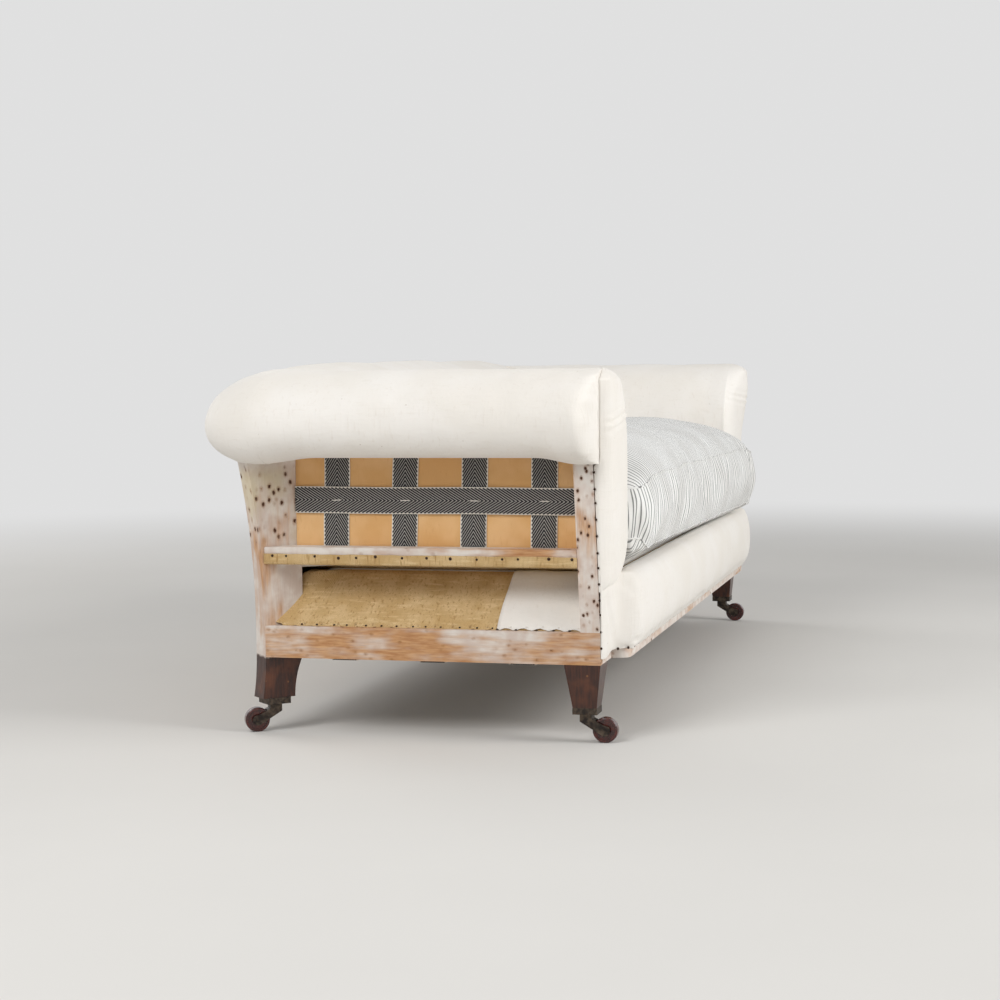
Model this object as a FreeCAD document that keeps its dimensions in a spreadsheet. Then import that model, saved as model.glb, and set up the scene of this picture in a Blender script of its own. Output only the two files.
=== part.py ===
import FreeCAD, Part
import math
import os

import Sketcher
from FreeCAD import Placement, Rotation, Vector

# A three-seat chesterfield sofa, re-stuffed in calico, with its outside panels left open.
# Millimetres. X runs along the sofa, -Y is the front, +Z is up, and the origin is on the
# floor under the middle of the sofa.

SIZES = [
    ("frame_length", 1960, "outer face of one end rail to the other"),
    ("frame_depth", 721, "front of the posts to the outer face of the back rail"),
    ("roll_overhang", 86, "reach of the padded roll beyond the frame"),
    ("front_reach", 75, "reach of the seat cushion in front of the posts"),
    ("clearance", 0.3, "room left between soft pieces and their neighbours"),
    ("leg_height", 155, "floor to the underside of the seat rails"),
    ("rail_height", 64, "depth of the seat rails"),
    ("rail_thickness", 48, "thickness of every rail"),
    ("stuffing_rail_level", 345, "underside of the stuffing rails"),
    ("stuffing_rail_height", 34, "depth of the stuffing rails"),
    ("post_top", 560, "top of the posts, under the top rails"),
    ("top_rail_height", 40, "depth of the top rails inside the roll"),
    ("corner_post_thickness", 45, "thickness of the diagonal rear posts"),
    ("corner_post_width", 84, "width of the rear posts along the diagonal"),
    ("corner_post_flare", 36, "how far the rear posts sweep out at the top"),
    ("corner_foot_width", 71, "width of the rear legs at the castor"),
    ("corner_foot_splay", 7, "how far the rear legs sweep out at the castor"),
    ("front_post_width", 39, "width of the front posts, front to back"),
    ("front_post_lean", 13, "how far the front posts lean back at the top"),
    ("front_leg_width", 73, "front legs at the rail"),
    ("front_leg_foot", 48, "front legs at the castor"),
    ("front_leg_set_back", 9, "taper on the front of the front legs"),
    ("front_leg_set_in", 4, "taper on the outside of the front legs"),
    ("lip_reach", 36, "the lip board stands this far in front of the posts"),
    ("lip_inset", 110, "ends of the lip board, in from the ends of the frame"),
    ("lip_corner", 24, "rounded ends of the lip board"),
    ("stud_spread", 660, "distance between the two back studs"),
    ("stud_width", 52, "width of a back stud"),
    ("facing_board_thickness", 20, "boards behind the arm facings"),
    ("facing_board_inset", 6, "edge of the facing boards inside the arm's outline"),
    ("cross_rail_width", 45, "seat cross rail"),
    ("cross_rail_height", 40, "seat cross rail"),
    ("corner_block_leg", 60, "glued corner blocks"),
    ("roll_underside", 546, "lower edge of the roll, just below the top rails"),
    ("roll_bulge_level", 618, "height at which the roll reaches out furthest"),
    ("roll_radius", 70, "underside of the roll"),
    ("roll_top", 732, "top of the roll"),
    ("shoulder_level", 560, "height at which the inside face turns into the roll"),
    ("arm_reach", 215, "thickness of the arms, from the end of the frame inwards"),
    ("back_reach", 240, "thickness of the back, from the back of the frame inwards"),
    ("tuck_in", 14, "draw of the inside faces where they tuck into the seat"),
    ("roll_front_round", 46, "radius of the rounded front end of the roll"),
    ("roll_front_bite", 6, "the rounding starts this far inside its tangent"),
    ("facing_thickness", 20, "padding of the arm facings"),
    ("facing_level", 175, "lower edge of the arm facings and of the front border"),
    ("facing_foot_width", 106, "width of the arm facings beside the front border"),
    ("facing_taper", 64, "rise over which the facing narrows to its foot"),
    ("border_bulge", 22, "bulge of the front border in front of the lip board"),
    ("border_end_draw", 28, "length over which the ends of the border draw in"),
    ("deck_level", 330, "top of the stuffed seat, under the cushion"),
    ("stuffing_thickness", 16, "stuffing over the springs"),
    ("cloth_thickness", 1.5, "webbing and hessian"),
    ("tan_cloth_thickness", 1, "tan cloth behind the webbing"),
    ("hessian_edge", 10, "hessian tacked this far in from the outside of the rails"),
    ("hessian_slope", 110, "inward slope of the hessian over the springs"),
    ("webbing_width", 50, "two-inch webbing"),
    ("first_web", 118, "front of the posts to the middle of the first web"),
    ("last_web", 173, "outside of the frame to the middle of the web nearest a rear post"),
    ("arm_webs", 4, "number of upright webs in an arm"),
    ("back_webs", 12, "number of upright webs in the back"),
    ("band_level", 446, "lower edge of the level web"),
    ("rail_strip_height", 20, "hessian strip on the stuffing rails"),
    ("return_length", 157, "calico return over the hessian, front to back"),
    ("return_margin", 5, "calico return stops this far below the seat stuffing"),
    ("spring_rows", 3, "springs from front to back"),
    ("spring_columns", 8, "springs along the seat"),
    ("spring_pitch", 210, "spacing of the springs along the seat"),
    ("spring_row_pitch", 185, "spacing of the springs from front to back"),
    ("spring_row_front", 157, "front of the posts to the first row of springs"),
    ("spring_radius", 42, "end coils of a spring"),
    ("spring_waist", 26, "middle coil of a spring"),
    ("spring_turns", 4, "coils of a spring"),
    ("spring_wire", 4, "diameter of the spring wire"),
    ("tack_radius", 4, "tack heads"),
    ("tack_height", 1.5, "tack heads"),
    ("tack_edge", 8, "tack heads, in from the edge of the wood"),
    ("lip_tack_pitch", 38, "tacks along the lip board"),
    ("post_tack_pitch", 24, "tacks up the front posts"),
    ("cushion_side_gap", 5, "seat cushion to the arms and the back"),
    ("cushion_corner", 60, "corner radius of the cushion in plan"),
    ("cushion_draw", 12, "draw of the cushion's sides between its corners"),
    ("cushion_belly", 105, "cushion's widest level, above its underside"),
    ("cushion_seam", 160, "cushion's top seam, above its underside"),
    ("cushion_crown", 260, "cushion's crown, above its underside"),
    ("castor_height", 70, "floor to the foot of the legs"),
    ("castor_plate", 49, "square plates under the legs"),
    ("castor_plate_thickness", 13, "plates under the legs"),
    ("castor_stem", 5, "radius of the stem under a plate"),
    ("castor_stem_head", 7, "radius of the riveted head of the stem"),
    ("castor_head_height", 3, "riveted head of the stem"),
    ("castor_hub", 12, "radius of the hub of a horn"),
    ("castor_hub_floor", 42, "underside of the hub, above the floor"),
    ("castor_trail", 37, "stem to axle"),
    ("castor_cheek", 4.5, "thickness of the cheeks of a horn"),
    ("castor_end_radius", 11, "rounded end of the cheeks"),
    ("castor_rear_turn", 30, "rear castors turned out from straight back, degrees"),
    ("wheel_radius", 25, "two-inch wheels"),
    ("wheel_width", 20, "wheels"),
    ("wheel_side_room", 0.5, "wheel to cheek"),
    ("wheel_rim_room", 2, "wheel to hub"),
    ("wheel_edge", 3, "rounding of the rim"),
    ("wheel_dish", 2, "depth of the dished sides of a wheel"),
    ("wheel_boss", 9, "radius of the boss of a wheel"),
    ("wheel_rim", 5, "width of the rim of a wheel"),
    ("axle_radius", 3, "axle pins"),
    ("axle_end", 1.5, "axle pins stand proud of the cheeks"),
    ("running_room", 0.05, "radial room of the bores that turn"),
]

doc = FreeCAD.newDocument("chesterfield_sofa")
sheet = doc.addObject("Spreadsheet::Sheet", "Sizes")
for row, (alias, number, note) in enumerate(SIZES, start=1):
    sheet.set(f"A{row}", note)
    sheet.set(f"B{row}", str(number))
    sheet.setAlias(f"B{row}", alias)
doc.recompute()


class Size:
    """A length that knows its number and the formula that binds it to the sheet."""

    def __init__(self, value, formula):
        self.value = value
        self.formula = formula

    def _join(self, other, sign, value):
        return Size(value, f"({self.formula} {sign} {as_size(other).formula})")

    def __add__(self, other):
        return self._join(other, "+", self.value + as_size(other).value)

    def __sub__(self, other):
        return self._join(other, "-", self.value - as_size(other).value)

    def __mul__(self, other):
        return self._join(other, "*", self.value * as_size(other).value)

    def __truediv__(self, other):
        return self._join(other, "/", self.value / as_size(other).value)

    def __neg__(self):
        return Size(-self.value, f"(-1 * {self.formula})")

    def __rmul__(self, other):
        return self * other

    def __radd__(self, other):
        return self + other

    def __rsub__(self, other):
        return as_size(other) - self


def as_size(number):
    if isinstance(number, Size):
        return number
    return Size(float(number), repr(float(number)))


def cell(alias):
    return Size(float(sheet.get(alias)), f"Sizes.{alias}")


S = {alias: cell(alias) for alias, number, note in SIZES}
SUBPARTS = {}


def keep(label, feature):
    """Give a sub-part its name; the name is also its file's name."""
    feature.Label = label
    SUBPARTS[label] = feature
    return feature


def place(feature, x=0, y=0, z=0, turn=None):
    """Bind a feature's place to the sheet. turn is an axis and an angle in degrees."""
    if turn:
        feature.Placement = Placement(Vector(), Rotation(*turn))
    for axis, length in zip("xyz", (x, y, z)):
        feature.setExpression(f"Placement.Base.{axis}", as_size(length).formula)
    return feature


def box(name, low, high):
    """A box between two corners, each a triple of sizes."""
    block = doc.addObject("Part::Box", name)
    for side, lower, upper in zip(("Length", "Width", "Height"), low, high):
        block.setExpression(side, (as_size(upper) - lower).formula)
    return place(block, *low)


def group(label, members):
    """Like pieces that share one node, as separate solids."""
    compound = doc.addObject("Part::Compound", label)
    compound.Links = members
    return keep(label, compound)


def solid(label, shape):
    """A sub-part whose form no sketch or primitive gives."""
    feature = doc.addObject("Part::Feature", label)
    feature.Shape = shape
    return keep(label, feature)


def only_solid(shape):
    """The single solid of a boolean's result."""
    return max(shape.Solids, key=lambda piece: piece.Volume)


def origin_plane(body, role):
    return next(plane for plane in body.Origin.OriginFeatures if plane.Role == role)


def arc_middle(start, end, radius, side):
    """The middle of an arc that bulges to the left (side 1) or right (-1) of its chord."""
    chord = end - start
    half = chord.Length / 2
    rise = radius - math.sqrt(max(radius * radius - half * half, 0.0))
    across = Vector(-chord.y, chord.x, 0).normalize()
    return (start + end) * 0.5 + across * (rise * side)


def sketch_outline(body, name, role, points, arcs=None):
    """A closed sketch. arcs maps an edge's number to its radius and the side it bulges to."""
    arcs = arcs or {}
    sketch = body.newObject("Sketcher::SketchObject", name)
    sketch.AttachmentSupport = [(origin_plane(body, role), "")]
    sketch.MapMode = "FlatFace"
    corners = [Vector(as_size(x).value, as_size(y).value, 0) for x, y in points]
    count = len(corners)
    ends = []
    for edge in range(count):
        start, end = corners[edge], corners[(edge + 1) % count]
        if edge in arcs:
            radius, side = arcs[edge]
            middle = arc_middle(start, end, as_size(radius).value, side)
            sketch.addGeometry(Part.Arc(start, middle, end), False)
            gaps = [sketch.getPoint(edge, tip).distanceToPoint(start) for tip in (1, 2)]
            forwards = gaps[0] < gaps[1]
            ends.append((1, 2) if forwards else (2, 1))
        else:
            sketch.addGeometry(Part.LineSegment(start, end), False)
            ends.append((1, 2))
    for edge in range(count):
        following = (edge + 1) % count
        joined = (edge, ends[edge][1], following, ends[following][0])
        sketch.addConstraint(Sketcher.Constraint("Coincident", *joined))
    for edge, (x, y) in enumerate(points):
        for kind, length in (("DistanceX", as_size(x)), ("DistanceY", as_size(y))):
            number = sketch.addConstraint(Sketcher.Constraint(kind, edge, ends[edge][0], length.value))
            sketch.setExpression(f"Constraints[{number}]", length.formula)
        if edge in arcs:
            radius = as_size(arcs[edge][0])
            number = sketch.addConstraint(Sketcher.Constraint("Radius", edge, radius.value))
            sketch.setExpression(f"Constraints[{number}]", radius.formula)
    return sketch


def sketch_circle(body, name, role, x, y, radius):
    sketch = body.newObject("Sketcher::SketchObject", name)
    sketch.AttachmentSupport = [(origin_plane(body, role), "")]
    sketch.MapMode = "FlatFace"
    centre = Vector(as_size(x).value, as_size(y).value, 0)
    sketch.addGeometry(Part.Circle(centre, Vector(0, 0, 1), as_size(radius).value), False)
    for kind, length in (("DistanceX", x), ("DistanceY", y)):
        number = sketch.addConstraint(Sketcher.Constraint(kind, 0, 3, as_size(length).value))
        sketch.setExpression(f"Constraints[{number}]", as_size(length).formula)
    number = sketch.addConstraint(Sketcher.Constraint("Radius", 0, as_size(radius).value))
    sketch.setExpression(f"Constraints[{number}]", as_size(radius).formula)
    return sketch


def pad(body, sketch, length, midplane=False):
    feature = body.newObject("PartDesign::Pad", f"{body.Name}_pad")
    feature.Profile = sketch
    feature.Midplane = midplane
    feature.setExpression("Length", as_size(length).formula)
    return feature


def pocket(body, sketch, length):
    """A cut to both sides of its sketch. The solid has to lose volume."""
    doc.recompute()
    before = body.Shape.Volume
    feature = body.newObject("PartDesign::Pocket", f"{body.Name}_pocket")
    feature.Profile = sketch
    feature.Midplane = True
    feature.setExpression("Length", as_size(length).formula)
    doc.recompute()
    if not body.Shape.Volume < before:
        raise RuntimeError(f"{body.Label}: the pocket cut nothing")
    return feature


def prism(label, role, points, length, arcs=None, midplane=False):
    """A body with one padded outline."""
    body = doc.addObject("PartDesign::Body", label)
    pad(body, sketch_outline(body, f"{label}_outline", role, points, arcs), length, midplane)
    return keep(label, body)


SIDES = (("left", -1), ("right", 1))

# Planes and levels that many pieces share.
half_length = S["frame_length"] / 2
half_depth = (S["front_reach"] + S["frame_depth"] + S["roll_overhang"]) / 2
front = S["front_reach"] - half_depth
back = front + S["frame_depth"]
rail_top = S["leg_height"] + S["rail_height"]
stuffing_rail_top = S["stuffing_rail_level"] + S["stuffing_rail_height"]
top_rail_top = S["post_top"] + S["top_rail_height"]
chamfer = S["corner_post_thickness"] / math.sqrt(2)
band_face = S["rail_thickness"]
web_face = band_face + S["cloth_thickness"]
tan_face = web_face + S["cloth_thickness"]
pad_face = tan_face + S["tan_cloth_thickness"] + S["clearance"]
pad_floor = S["deck_level"] + S["clearance"]


def plan_rail(label, side, level, height, front_end):
    """An end rail: square at the front, cut at 45 degrees against the rear post."""
    outer = half_length * side
    inner = (half_length - S["rail_thickness"]) * side
    rear = back - chamfer
    points = [(outer, front_end), (outer, rear), (inner, rear - S["rail_thickness"]), (inner, front_end)]
    return place(prism(label, "XY_Plane", points, height), z=level)


def cross_rail(label, level, height):
    """A back rail: both ends cut at 45 degrees against the rear posts."""
    outer = half_length - chamfer
    inner = outer - S["rail_thickness"]
    inside = back - S["rail_thickness"]
    points = [(-outer, back), (outer, back), (inner, inside), (-inner, inside)]
    return place(prism(label, "XY_Plane", points, height), z=level)


# Rear posts: planks on the diagonal of the corner. The outer edge is plumb behind the seat
# rails, sweeps out above them and again towards the castor.
for name, side in SIDES:
    flare_rise = S["post_top"] - rail_top
    foot_rise = S["leg_height"] - S["castor_height"]
    foot_inner = S["corner_foot_width"] - S["corner_foot_splay"]
    draw = S["corner_post_width"] - foot_inner
    points = [
        (S["corner_foot_splay"], S["castor_height"]),
        (0, S["leg_height"]),
        (0, rail_top),
        (S["corner_post_flare"], S["post_top"]),
        (-S["corner_post_width"], S["post_top"]),
        (-S["corner_post_width"], S["leg_height"]),
        (-foot_inner, S["castor_height"]),
    ]
    arcs = {
        0: ((foot_rise * foot_rise / S["corner_foot_splay"] + S["corner_foot_splay"]) / 2, 1),
        2: ((flare_rise * flare_rise / S["corner_post_flare"] + S["corner_post_flare"]) / 2, 1),
        5: ((foot_rise * foot_rise / draw + draw) / 2, 1),
    }
    post = prism(f"rear_post_{name}", "XZ_Plane", points, S["corner_post_thickness"], arcs, midplane=True)
    diagonal = 135 if side < 0 else 45
    place(post, (half_length - chamfer / 2) * side, back - chamfer / 2, 0, (Vector(0, 0, 1), diagonal))

# Front posts stand on the end rails and lean back a little.
for name, side in SIDES:
    points = [
        (front, rail_top),
        (front + S["front_post_width"], rail_top),
        (front + S["front_post_width"] + S["front_post_lean"], S["post_top"]),
        (front + S["front_post_lean"], S["post_top"]),
    ]
    post = prism(f"front_post_{name}", "YZ_Plane", points, S["rail_thickness"])
    place(post, -half_length if side < 0 else half_length - S["rail_thickness"])

# Front legs: square tapers under the corners of the frame.
for name, side in SIDES:
    label = f"front_leg_{name}"
    body = doc.addObject("PartDesign::Body", label)
    top_inner = S["front_leg_width"]
    foot_inner = S["front_leg_set_in"] + S["front_leg_foot"]
    foot_back = S["front_leg_set_back"] + S["front_leg_foot"]
    top = [(0, 0), (top_inner * -side, 0), (top_inner * -side, top_inner), (0, top_inner)]
    foot = [
        (S["front_leg_set_in"] * -side, S["front_leg_set_back"]),
        (foot_inner * -side, S["front_leg_set_back"]),
        (foot_inner * -side, foot_back),
        (S["front_leg_set_in"] * -side, foot_back),
    ]
    top_sketch = sketch_outline(body, f"{label}_top", "XY_Plane", top)
    foot_sketch = sketch_outline(body, f"{label}_foot", "XY_Plane", foot)
    foot_sketch.setExpression("AttachmentOffset.Base.z", (S["castor_height"] - S["leg_height"]).formula)
    loft = body.newObject("PartDesign::AdditiveLoft", f"{label}_taper")
    loft.Profile = top_sketch
    loft.Sections = [foot_sketch]
    place(keep(label, body), half_length * side, front, S["leg_height"])

# Seat rails, stuffing rails and the top rails inside the roll.
front_post_back = front + S["front_post_width"] + S["front_post_lean"]
for name, side in SIDES:
    plan_rail(f"end_rail_{name}", side, S["leg_height"], S["rail_height"], front)
    plan_rail(f"arm_rail_{name}", side, S["stuffing_rail_level"], S["stuffing_rail_height"], front_post_back)
    plan_rail(f"arm_top_rail_{name}", side, S["post_top"], S["top_rail_height"], front + S["front_post_lean"])
cross_rail("back_rail", S["leg_height"], S["rail_height"])
cross_rail("back_stuffing_rail", S["stuffing_rail_level"], S["stuffing_rail_height"])
cross_rail("back_top_rail", S["post_top"], S["top_rail_height"])

between_ends = half_length - S["rail_thickness"]
front_rail_back = front + S["rail_thickness"]
back_rail_front = back - S["rail_thickness"]
lip_face = front - S["lip_reach"]
lip_half = half_length - S["lip_inset"]
keep("front_rail", box(
    "front_rail", (-between_ends, front, S["leg_height"]), (between_ends, front_rail_back, rail_top)))
lip_plan = [
    (-lip_half, front), (-lip_half, lip_face + S["lip_corner"]), (S["lip_corner"] - lip_half, lip_face),
    (lip_half - S["lip_corner"], lip_face), (lip_half, lip_face + S["lip_corner"]), (lip_half, front),
]
lip_arcs = {1: (S["lip_corner"], -1), 3: (S["lip_corner"], -1)}
place(prism("lip_board", "XY_Plane", lip_plan, S["rail_height"], lip_arcs), z=S["leg_height"])
keep("seat_cross_rail", box(
    "seat_cross_rail",
    (-S["cross_rail_width"] / 2, front_rail_back, S["leg_height"]),
    (S["cross_rail_width"] / 2, back_rail_front, S["leg_height"] + S["cross_rail_height"]),
))

# Back studs, between the back rails.
studs = []
for name, side in SIDES:
    middle = S["stud_spread"] / 2 * side
    for level, lower, upper in (
        ("lower", rail_top, S["stuffing_rail_level"]),
        ("upper", stuffing_rail_top, S["post_top"]),
    ):
        studs.append(box(
            f"stud_{level}_{name}",
            (middle - S["stud_width"] / 2, back_rail_front, lower),
            (middle + S["stud_width"] / 2, back, upper),
        ))
group("back_studs", studs)

# Corner blocks, glued into the front corners of the seat frame.
blocks = []
for name, side in SIDES:
    leg = S["corner_block_leg"]
    body = doc.addObject("PartDesign::Body", f"corner_block_{name}")
    triangle = [(0, 0), (leg * -side, 0), (0, leg)]
    pad(body, sketch_outline(body, f"corner_block_{name}_outline", "XY_Plane", triangle), S["rail_height"])
    blocks.append(place(body, between_ends * side, front_rail_back, S["leg_height"]))
group("corner_blocks", blocks)


def padded_section(reach, where):
    """The padded section of an arm or the back as a face. where maps (out, up) to a point."""
    gap = S["clearance"].value
    over = S["roll_overhang"].value
    bulge = S["roll_bulge_level"].value
    radius = S["roll_radius"].value
    top = S["roll_top"].value
    shoulder = S["shoulder_level"].value
    underside = S["roll_underside"].value + gap
    inner = pad_face.value
    tuck = S["tuck_in"].value
    floor = pad_floor.value
    half = math.sqrt(0.5)
    start = (gap, underside)
    nose = (over, bulge)
    crown = (-inner, top)
    turn = (-reach, shoulder)
    foot = (-reach + tuck, floor)
    low_mid = (over - radius + radius * half, bulge - (bulge - underside) * half)
    high_mid = (-inner + (over + inner) * half, bulge + (top - bulge) * half)
    inner_mid = (-inner - (reach - inner) * half, shoulder + (top - shoulder) * half)
    belly = (-reach - tuck / 8, (shoulder + floor) / 2 + tuck)
    ledge = top_rail_top.value + gap
    edges = [
        Part.Arc(where(*start), where(*low_mid), where(*nose)).toShape(),
        Part.Arc(where(*nose), where(*high_mid), where(*crown)).toShape(),
        Part.Arc(where(*crown), where(*inner_mid), where(*turn)).toShape(),
        Part.Arc(where(*turn), where(*belly), where(*foot)).toShape(),
    ]
    corners = [foot, (-inner, floor), (-inner, ledge), (gap, ledge), start]
    for one, other in zip(corners, corners[1:]):
        edges.append(Part.makeLine(where(*one), where(*other)))
    return Part.Face(Part.Wire(edges))


def roll_section(where):
    """The part of the section that is outside the crown, which turns the corner."""
    gap = S["clearance"].value
    over = S["roll_overhang"].value
    bulge = S["roll_bulge_level"].value
    radius = S["roll_radius"].value
    top = S["roll_top"].value
    underside = S["roll_underside"].value + gap
    inner = pad_face.value
    half = math.sqrt(0.5)
    low_mid = (over - radius + radius * half, bulge - (bulge - underside) * half)
    high_mid = (-inner + (over + inner) * half, bulge + (top - bulge) * half)
    edges = [
        Part.Arc(where(gap, underside), where(*low_mid), where(over, bulge)).toShape(),
        Part.Arc(where(over, bulge), where(*high_mid), where(-inner, top)).toShape(),
        Part.makeLine(where(-inner, top), where(-inner, underside)),
        Part.makeLine(where(-inner, underside), where(gap, underside)),
    ]
    return Part.Face(Part.Wire(edges))


def plan_prism(corners, low, high):
    """An upright prism over a polygon of (x, y) points."""
    points = [Vector(x, y, low) for x, y in corners]
    return Part.Face(Part.makePolygon(points + points[:1])).extrude(Vector(0, 0, high - low))


def corner_plan(side, points):
    """Points measured inwards from the end and from the back of the frame, in plan."""
    return [((half_length.value - p) * side, back.value - q) for p, q in points]


def post_room(side):
    """The rear post with its clearance, for cutting soft pieces round it."""
    room = S["clearance"].value
    thick = S["corner_post_thickness"].value + 2 * room
    long = S["corner_post_width"].value + S["corner_post_flare"].value + room
    corner = Vector(-S["corner_post_width"].value - room, -thick / 2, 0)
    block = Part.makeBox(long, thick, S["post_top"].value + room, corner)
    diagonal = 135 if side < 0 else 45
    spot = Vector((half_length - chamfer / 2).value * side, (back - chamfer / 2).value, 0)
    block.Placement = Placement(spot, Rotation(Vector(0, 0, 1), diagonal))
    return block


# Arm pads: stuffing and calico of the inside arm and its roll. At the rear they meet the back
# pad on the diagonal, and at the front the roll is rounded off beside the facing.
tall = S["roll_top"].value + S["roll_overhang"].value
beyond = 2 * S["arm_reach"].value
overcut = S["facing_thickness"].value
mitre_p = S["arm_reach"].value - pad_face.value
mitre_q = S["back_reach"].value - pad_face.value
inner_corner = pad_face.value
for name, side in SIDES:
    def arm_point(out, up):
        return Vector((half_length.value + out) * side, front.value, up)

    arm = padded_section(S["arm_reach"].value, arm_point).extrude(Vector(0, S["frame_depth"].value, 0))
    behind = [
        (-beyond, inner_corner),
        (inner_corner, inner_corner),
        (inner_corner + 2 * mitre_p, inner_corner + 2 * mitre_q),
        (inner_corner + 2 * mitre_p, -beyond),
        (-beyond, -beyond),
    ]
    arm = arm.cut(plan_prism(corner_plan(side, behind), 0, tall))
    arm = arm.cut(post_room(side))
    slab_back = (S["facing_board_thickness"] + S["clearance"]).value
    slab_front = front.value - overcut
    slab = [(between_ends.value * side, slab_front), ((half_length.value - beyond) * side, slab_front)]
    slab += [(x, front.value + slab_back) for x, y in reversed(slab)]
    arm = arm.cut(plan_prism(slab, 0, tall))
    rounding = S["roll_front_round"].value
    bite = S["roll_front_bite"].value
    nose = half_length.value + S["roll_overhang"].value
    round_x = (nose - rounding + bite) * side
    round_y = front.value + rounding - bite / 4
    corner = [(round_x, slab_front), ((nose + overcut) * side, slab_front)]
    corner += [(x, round_y) for x, y in reversed(corner)]
    rod = Part.makeCylinder(rounding, tall, Vector(round_x, round_y, 0))
    arm = arm.cut(plan_prism(corner, 0, tall).cut(rod))
    solid(f"arm_pad_{name}", only_solid(arm))

# Back pad, with the two rounded corners of the roll.
def back_point(out, up):
    return Vector(-(half_length - pad_face).value, (back + out).value, up)

run = 2 * (half_length - pad_face).value
backrest = padded_section(S["back_reach"].value, back_point).extrude(Vector(run, 0, 0))
for name, side in SIDES:
    past_mitre = [
        (inner_corner, inner_corner),
        (inner_corner + 2 * mitre_p, inner_corner + 2 * mitre_q),
        (-beyond, inner_corner + 2 * mitre_q),
        (-beyond, inner_corner),
    ]
    backrest = backrest.cut(plan_prism(corner_plan(side, past_mitre), 0, tall))
    axis = Vector((half_length - pad_face).value * side, (back - pad_face).value, 0)

    def corner_point(out, up):
        return Vector((half_length.value + out) * side, (back - pad_face).value, up)

    quarter = roll_section(corner_point).revolve(axis, Vector(0, 0, 1), 90.0 * side)
    room = S["clearance"].value
    socket = [(-room, -room), (inner_corner, -room), (inner_corner, inner_corner), (-room, inner_corner)]
    quarter = quarter.cut(plan_prism(corner_plan(side, socket), 0, top_rail_top.value + room))
    backrest = backrest.fuse(quarter)
for name, side in SIDES:
    backrest = backrest.cut(post_room(side))
solid("back_pad", only_solid(backrest.removeSplitter()))

# Facing boards behind the arm facings, and the padded facings in front of them.
for name, side in SIDES:
    edge = S["facing_board_inset"]
    reach = S["arm_reach"] - edge
    crown_level = S["roll_top"] - edge
    drop = crown_level - S["shoulder_level"]
    width = reach - S["rail_thickness"] - S["clearance"]
    radius = (drop * drop / width + width) / 2
    near = (half_length - S["rail_thickness"] - S["clearance"]) * side
    far = (half_length - reach) * side
    points = [(near, rail_top), (near, crown_level), (far, S["shoulder_level"]), (far, rail_top)]
    board = prism(
        f"facing_board_{name}", "XZ_Plane", points, S["facing_board_thickness"],
        {1: (radius, -side)})
    place(board, y=front + S["facing_board_thickness"])

    reach = S["arm_reach"]
    crown = S["rail_thickness"]
    drop = S["roll_top"] - S["shoulder_level"]
    width = reach - crown
    radius = (drop * drop / width + width) / 2
    outside = half_length * side
    foot = (half_length - S["facing_foot_width"]) * side
    inside = (half_length - reach) * side
    top_outer = S["roll_top"] - S["clearance"]
    points = [
        (outside, S["facing_level"]),
        (outside, top_outer - S["facing_thickness"]),
        ((half_length - crown) * side, top_outer),
        (inside, S["shoulder_level"]),
        (inside, pad_floor + S["facing_taper"]),
        (foot, pad_floor),
        (foot, S["facing_level"]),
    ]
    facing = prism(f"arm_facing_{name}", "XZ_Plane", points, S["facing_thickness"], {2: (radius, -side)})
    place(facing, y=front)

# Webbing and tan cloth inside the open ends and the open back: a level band outermost, upright
# webs behind it, then the cloth.
web_floor = S["stuffing_rail_level"]
web_ceiling = top_rail_top - S["clearance"]
cloth_front = front + S["facing_board_thickness"] + S["clearance"]
cloth_rear = back - chamfer - pad_face
arm_web_pitch = (back - S["last_web"] - front - S["first_web"]) / (S["arm_webs"] - 1)
for name, side in SIDES:
    def across(near, far):
        """Two distances inwards from the end of the frame, as sorted X values."""
        if side < 0:
            return -half_length + near, -half_length + far
        return half_length - far, half_length - near

    low, high = across(band_face, web_face)
    strips = [box(
        f"arm_band_{name}", (low, cloth_front, S["band_level"]),
        (high, cloth_rear, S["band_level"] + S["webbing_width"]))]
    low, high = across(web_face, tan_face)
    for number in range(round(S["arm_webs"].value)):
        middle = front + S["first_web"] + number * arm_web_pitch
        strips.append(box(
            f"arm_web_{name}_{number}", (low, middle - S["webbing_width"] / 2, web_floor),
            (high, middle + S["webbing_width"] / 2, web_ceiling)))
    group(f"arm_webbing_{name}", strips)
    low, high = across(tan_face, tan_face + S["tan_cloth_thickness"])
    keep(f"arm_cloth_{name}", box(
        f"arm_cloth_{name}", (low, cloth_front, web_floor), (high, cloth_rear, web_ceiling)))

cloth_half = half_length - chamfer - pad_face
strips = [box(
    "back_band", (-cloth_half, back - web_face, S["band_level"]),
    (cloth_half, back - band_face, S["band_level"] + S["webbing_width"]))]
outer_web = half_length - S["last_web"]
back_web_pitch = 2 * outer_web / (S["back_webs"] - 1)
for number in range(round(S["back_webs"].value)):
    middle = number * back_web_pitch - outer_web
    strips.append(box(
        f"back_web_{number}", (middle - S["webbing_width"] / 2, back - tan_face, web_floor),
        (middle + S["webbing_width"] / 2, back - web_face, web_ceiling)))
group("back_webbing", strips)
keep("back_cloth", box(
    "back_cloth", (-cloth_half, back - tan_face - S["tan_cloth_thickness"], web_floor),
    (cloth_half, back - tan_face, web_ceiling)))

# Hessian strips tacked on the lower half of the stuffing rails.
strip_top = S["stuffing_rail_level"] + S["rail_strip_height"]
for name, side in SIDES:
    low = -half_length - S["cloth_thickness"] if side < 0 else half_length
    high = -half_length if side < 0 else half_length + S["cloth_thickness"]
    keep(f"rail_hessian_{name}", box(
        f"rail_hessian_{name}", (low, front_post_back, S["stuffing_rail_level"]),
        (high, back - chamfer, strip_top)))
keep("rail_hessian_back", box(
    "rail_hessian_back", (-(half_length - chamfer), back, S["stuffing_rail_level"]),
    (half_length - chamfer, back + S["cloth_thickness"], strip_top)))

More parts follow.
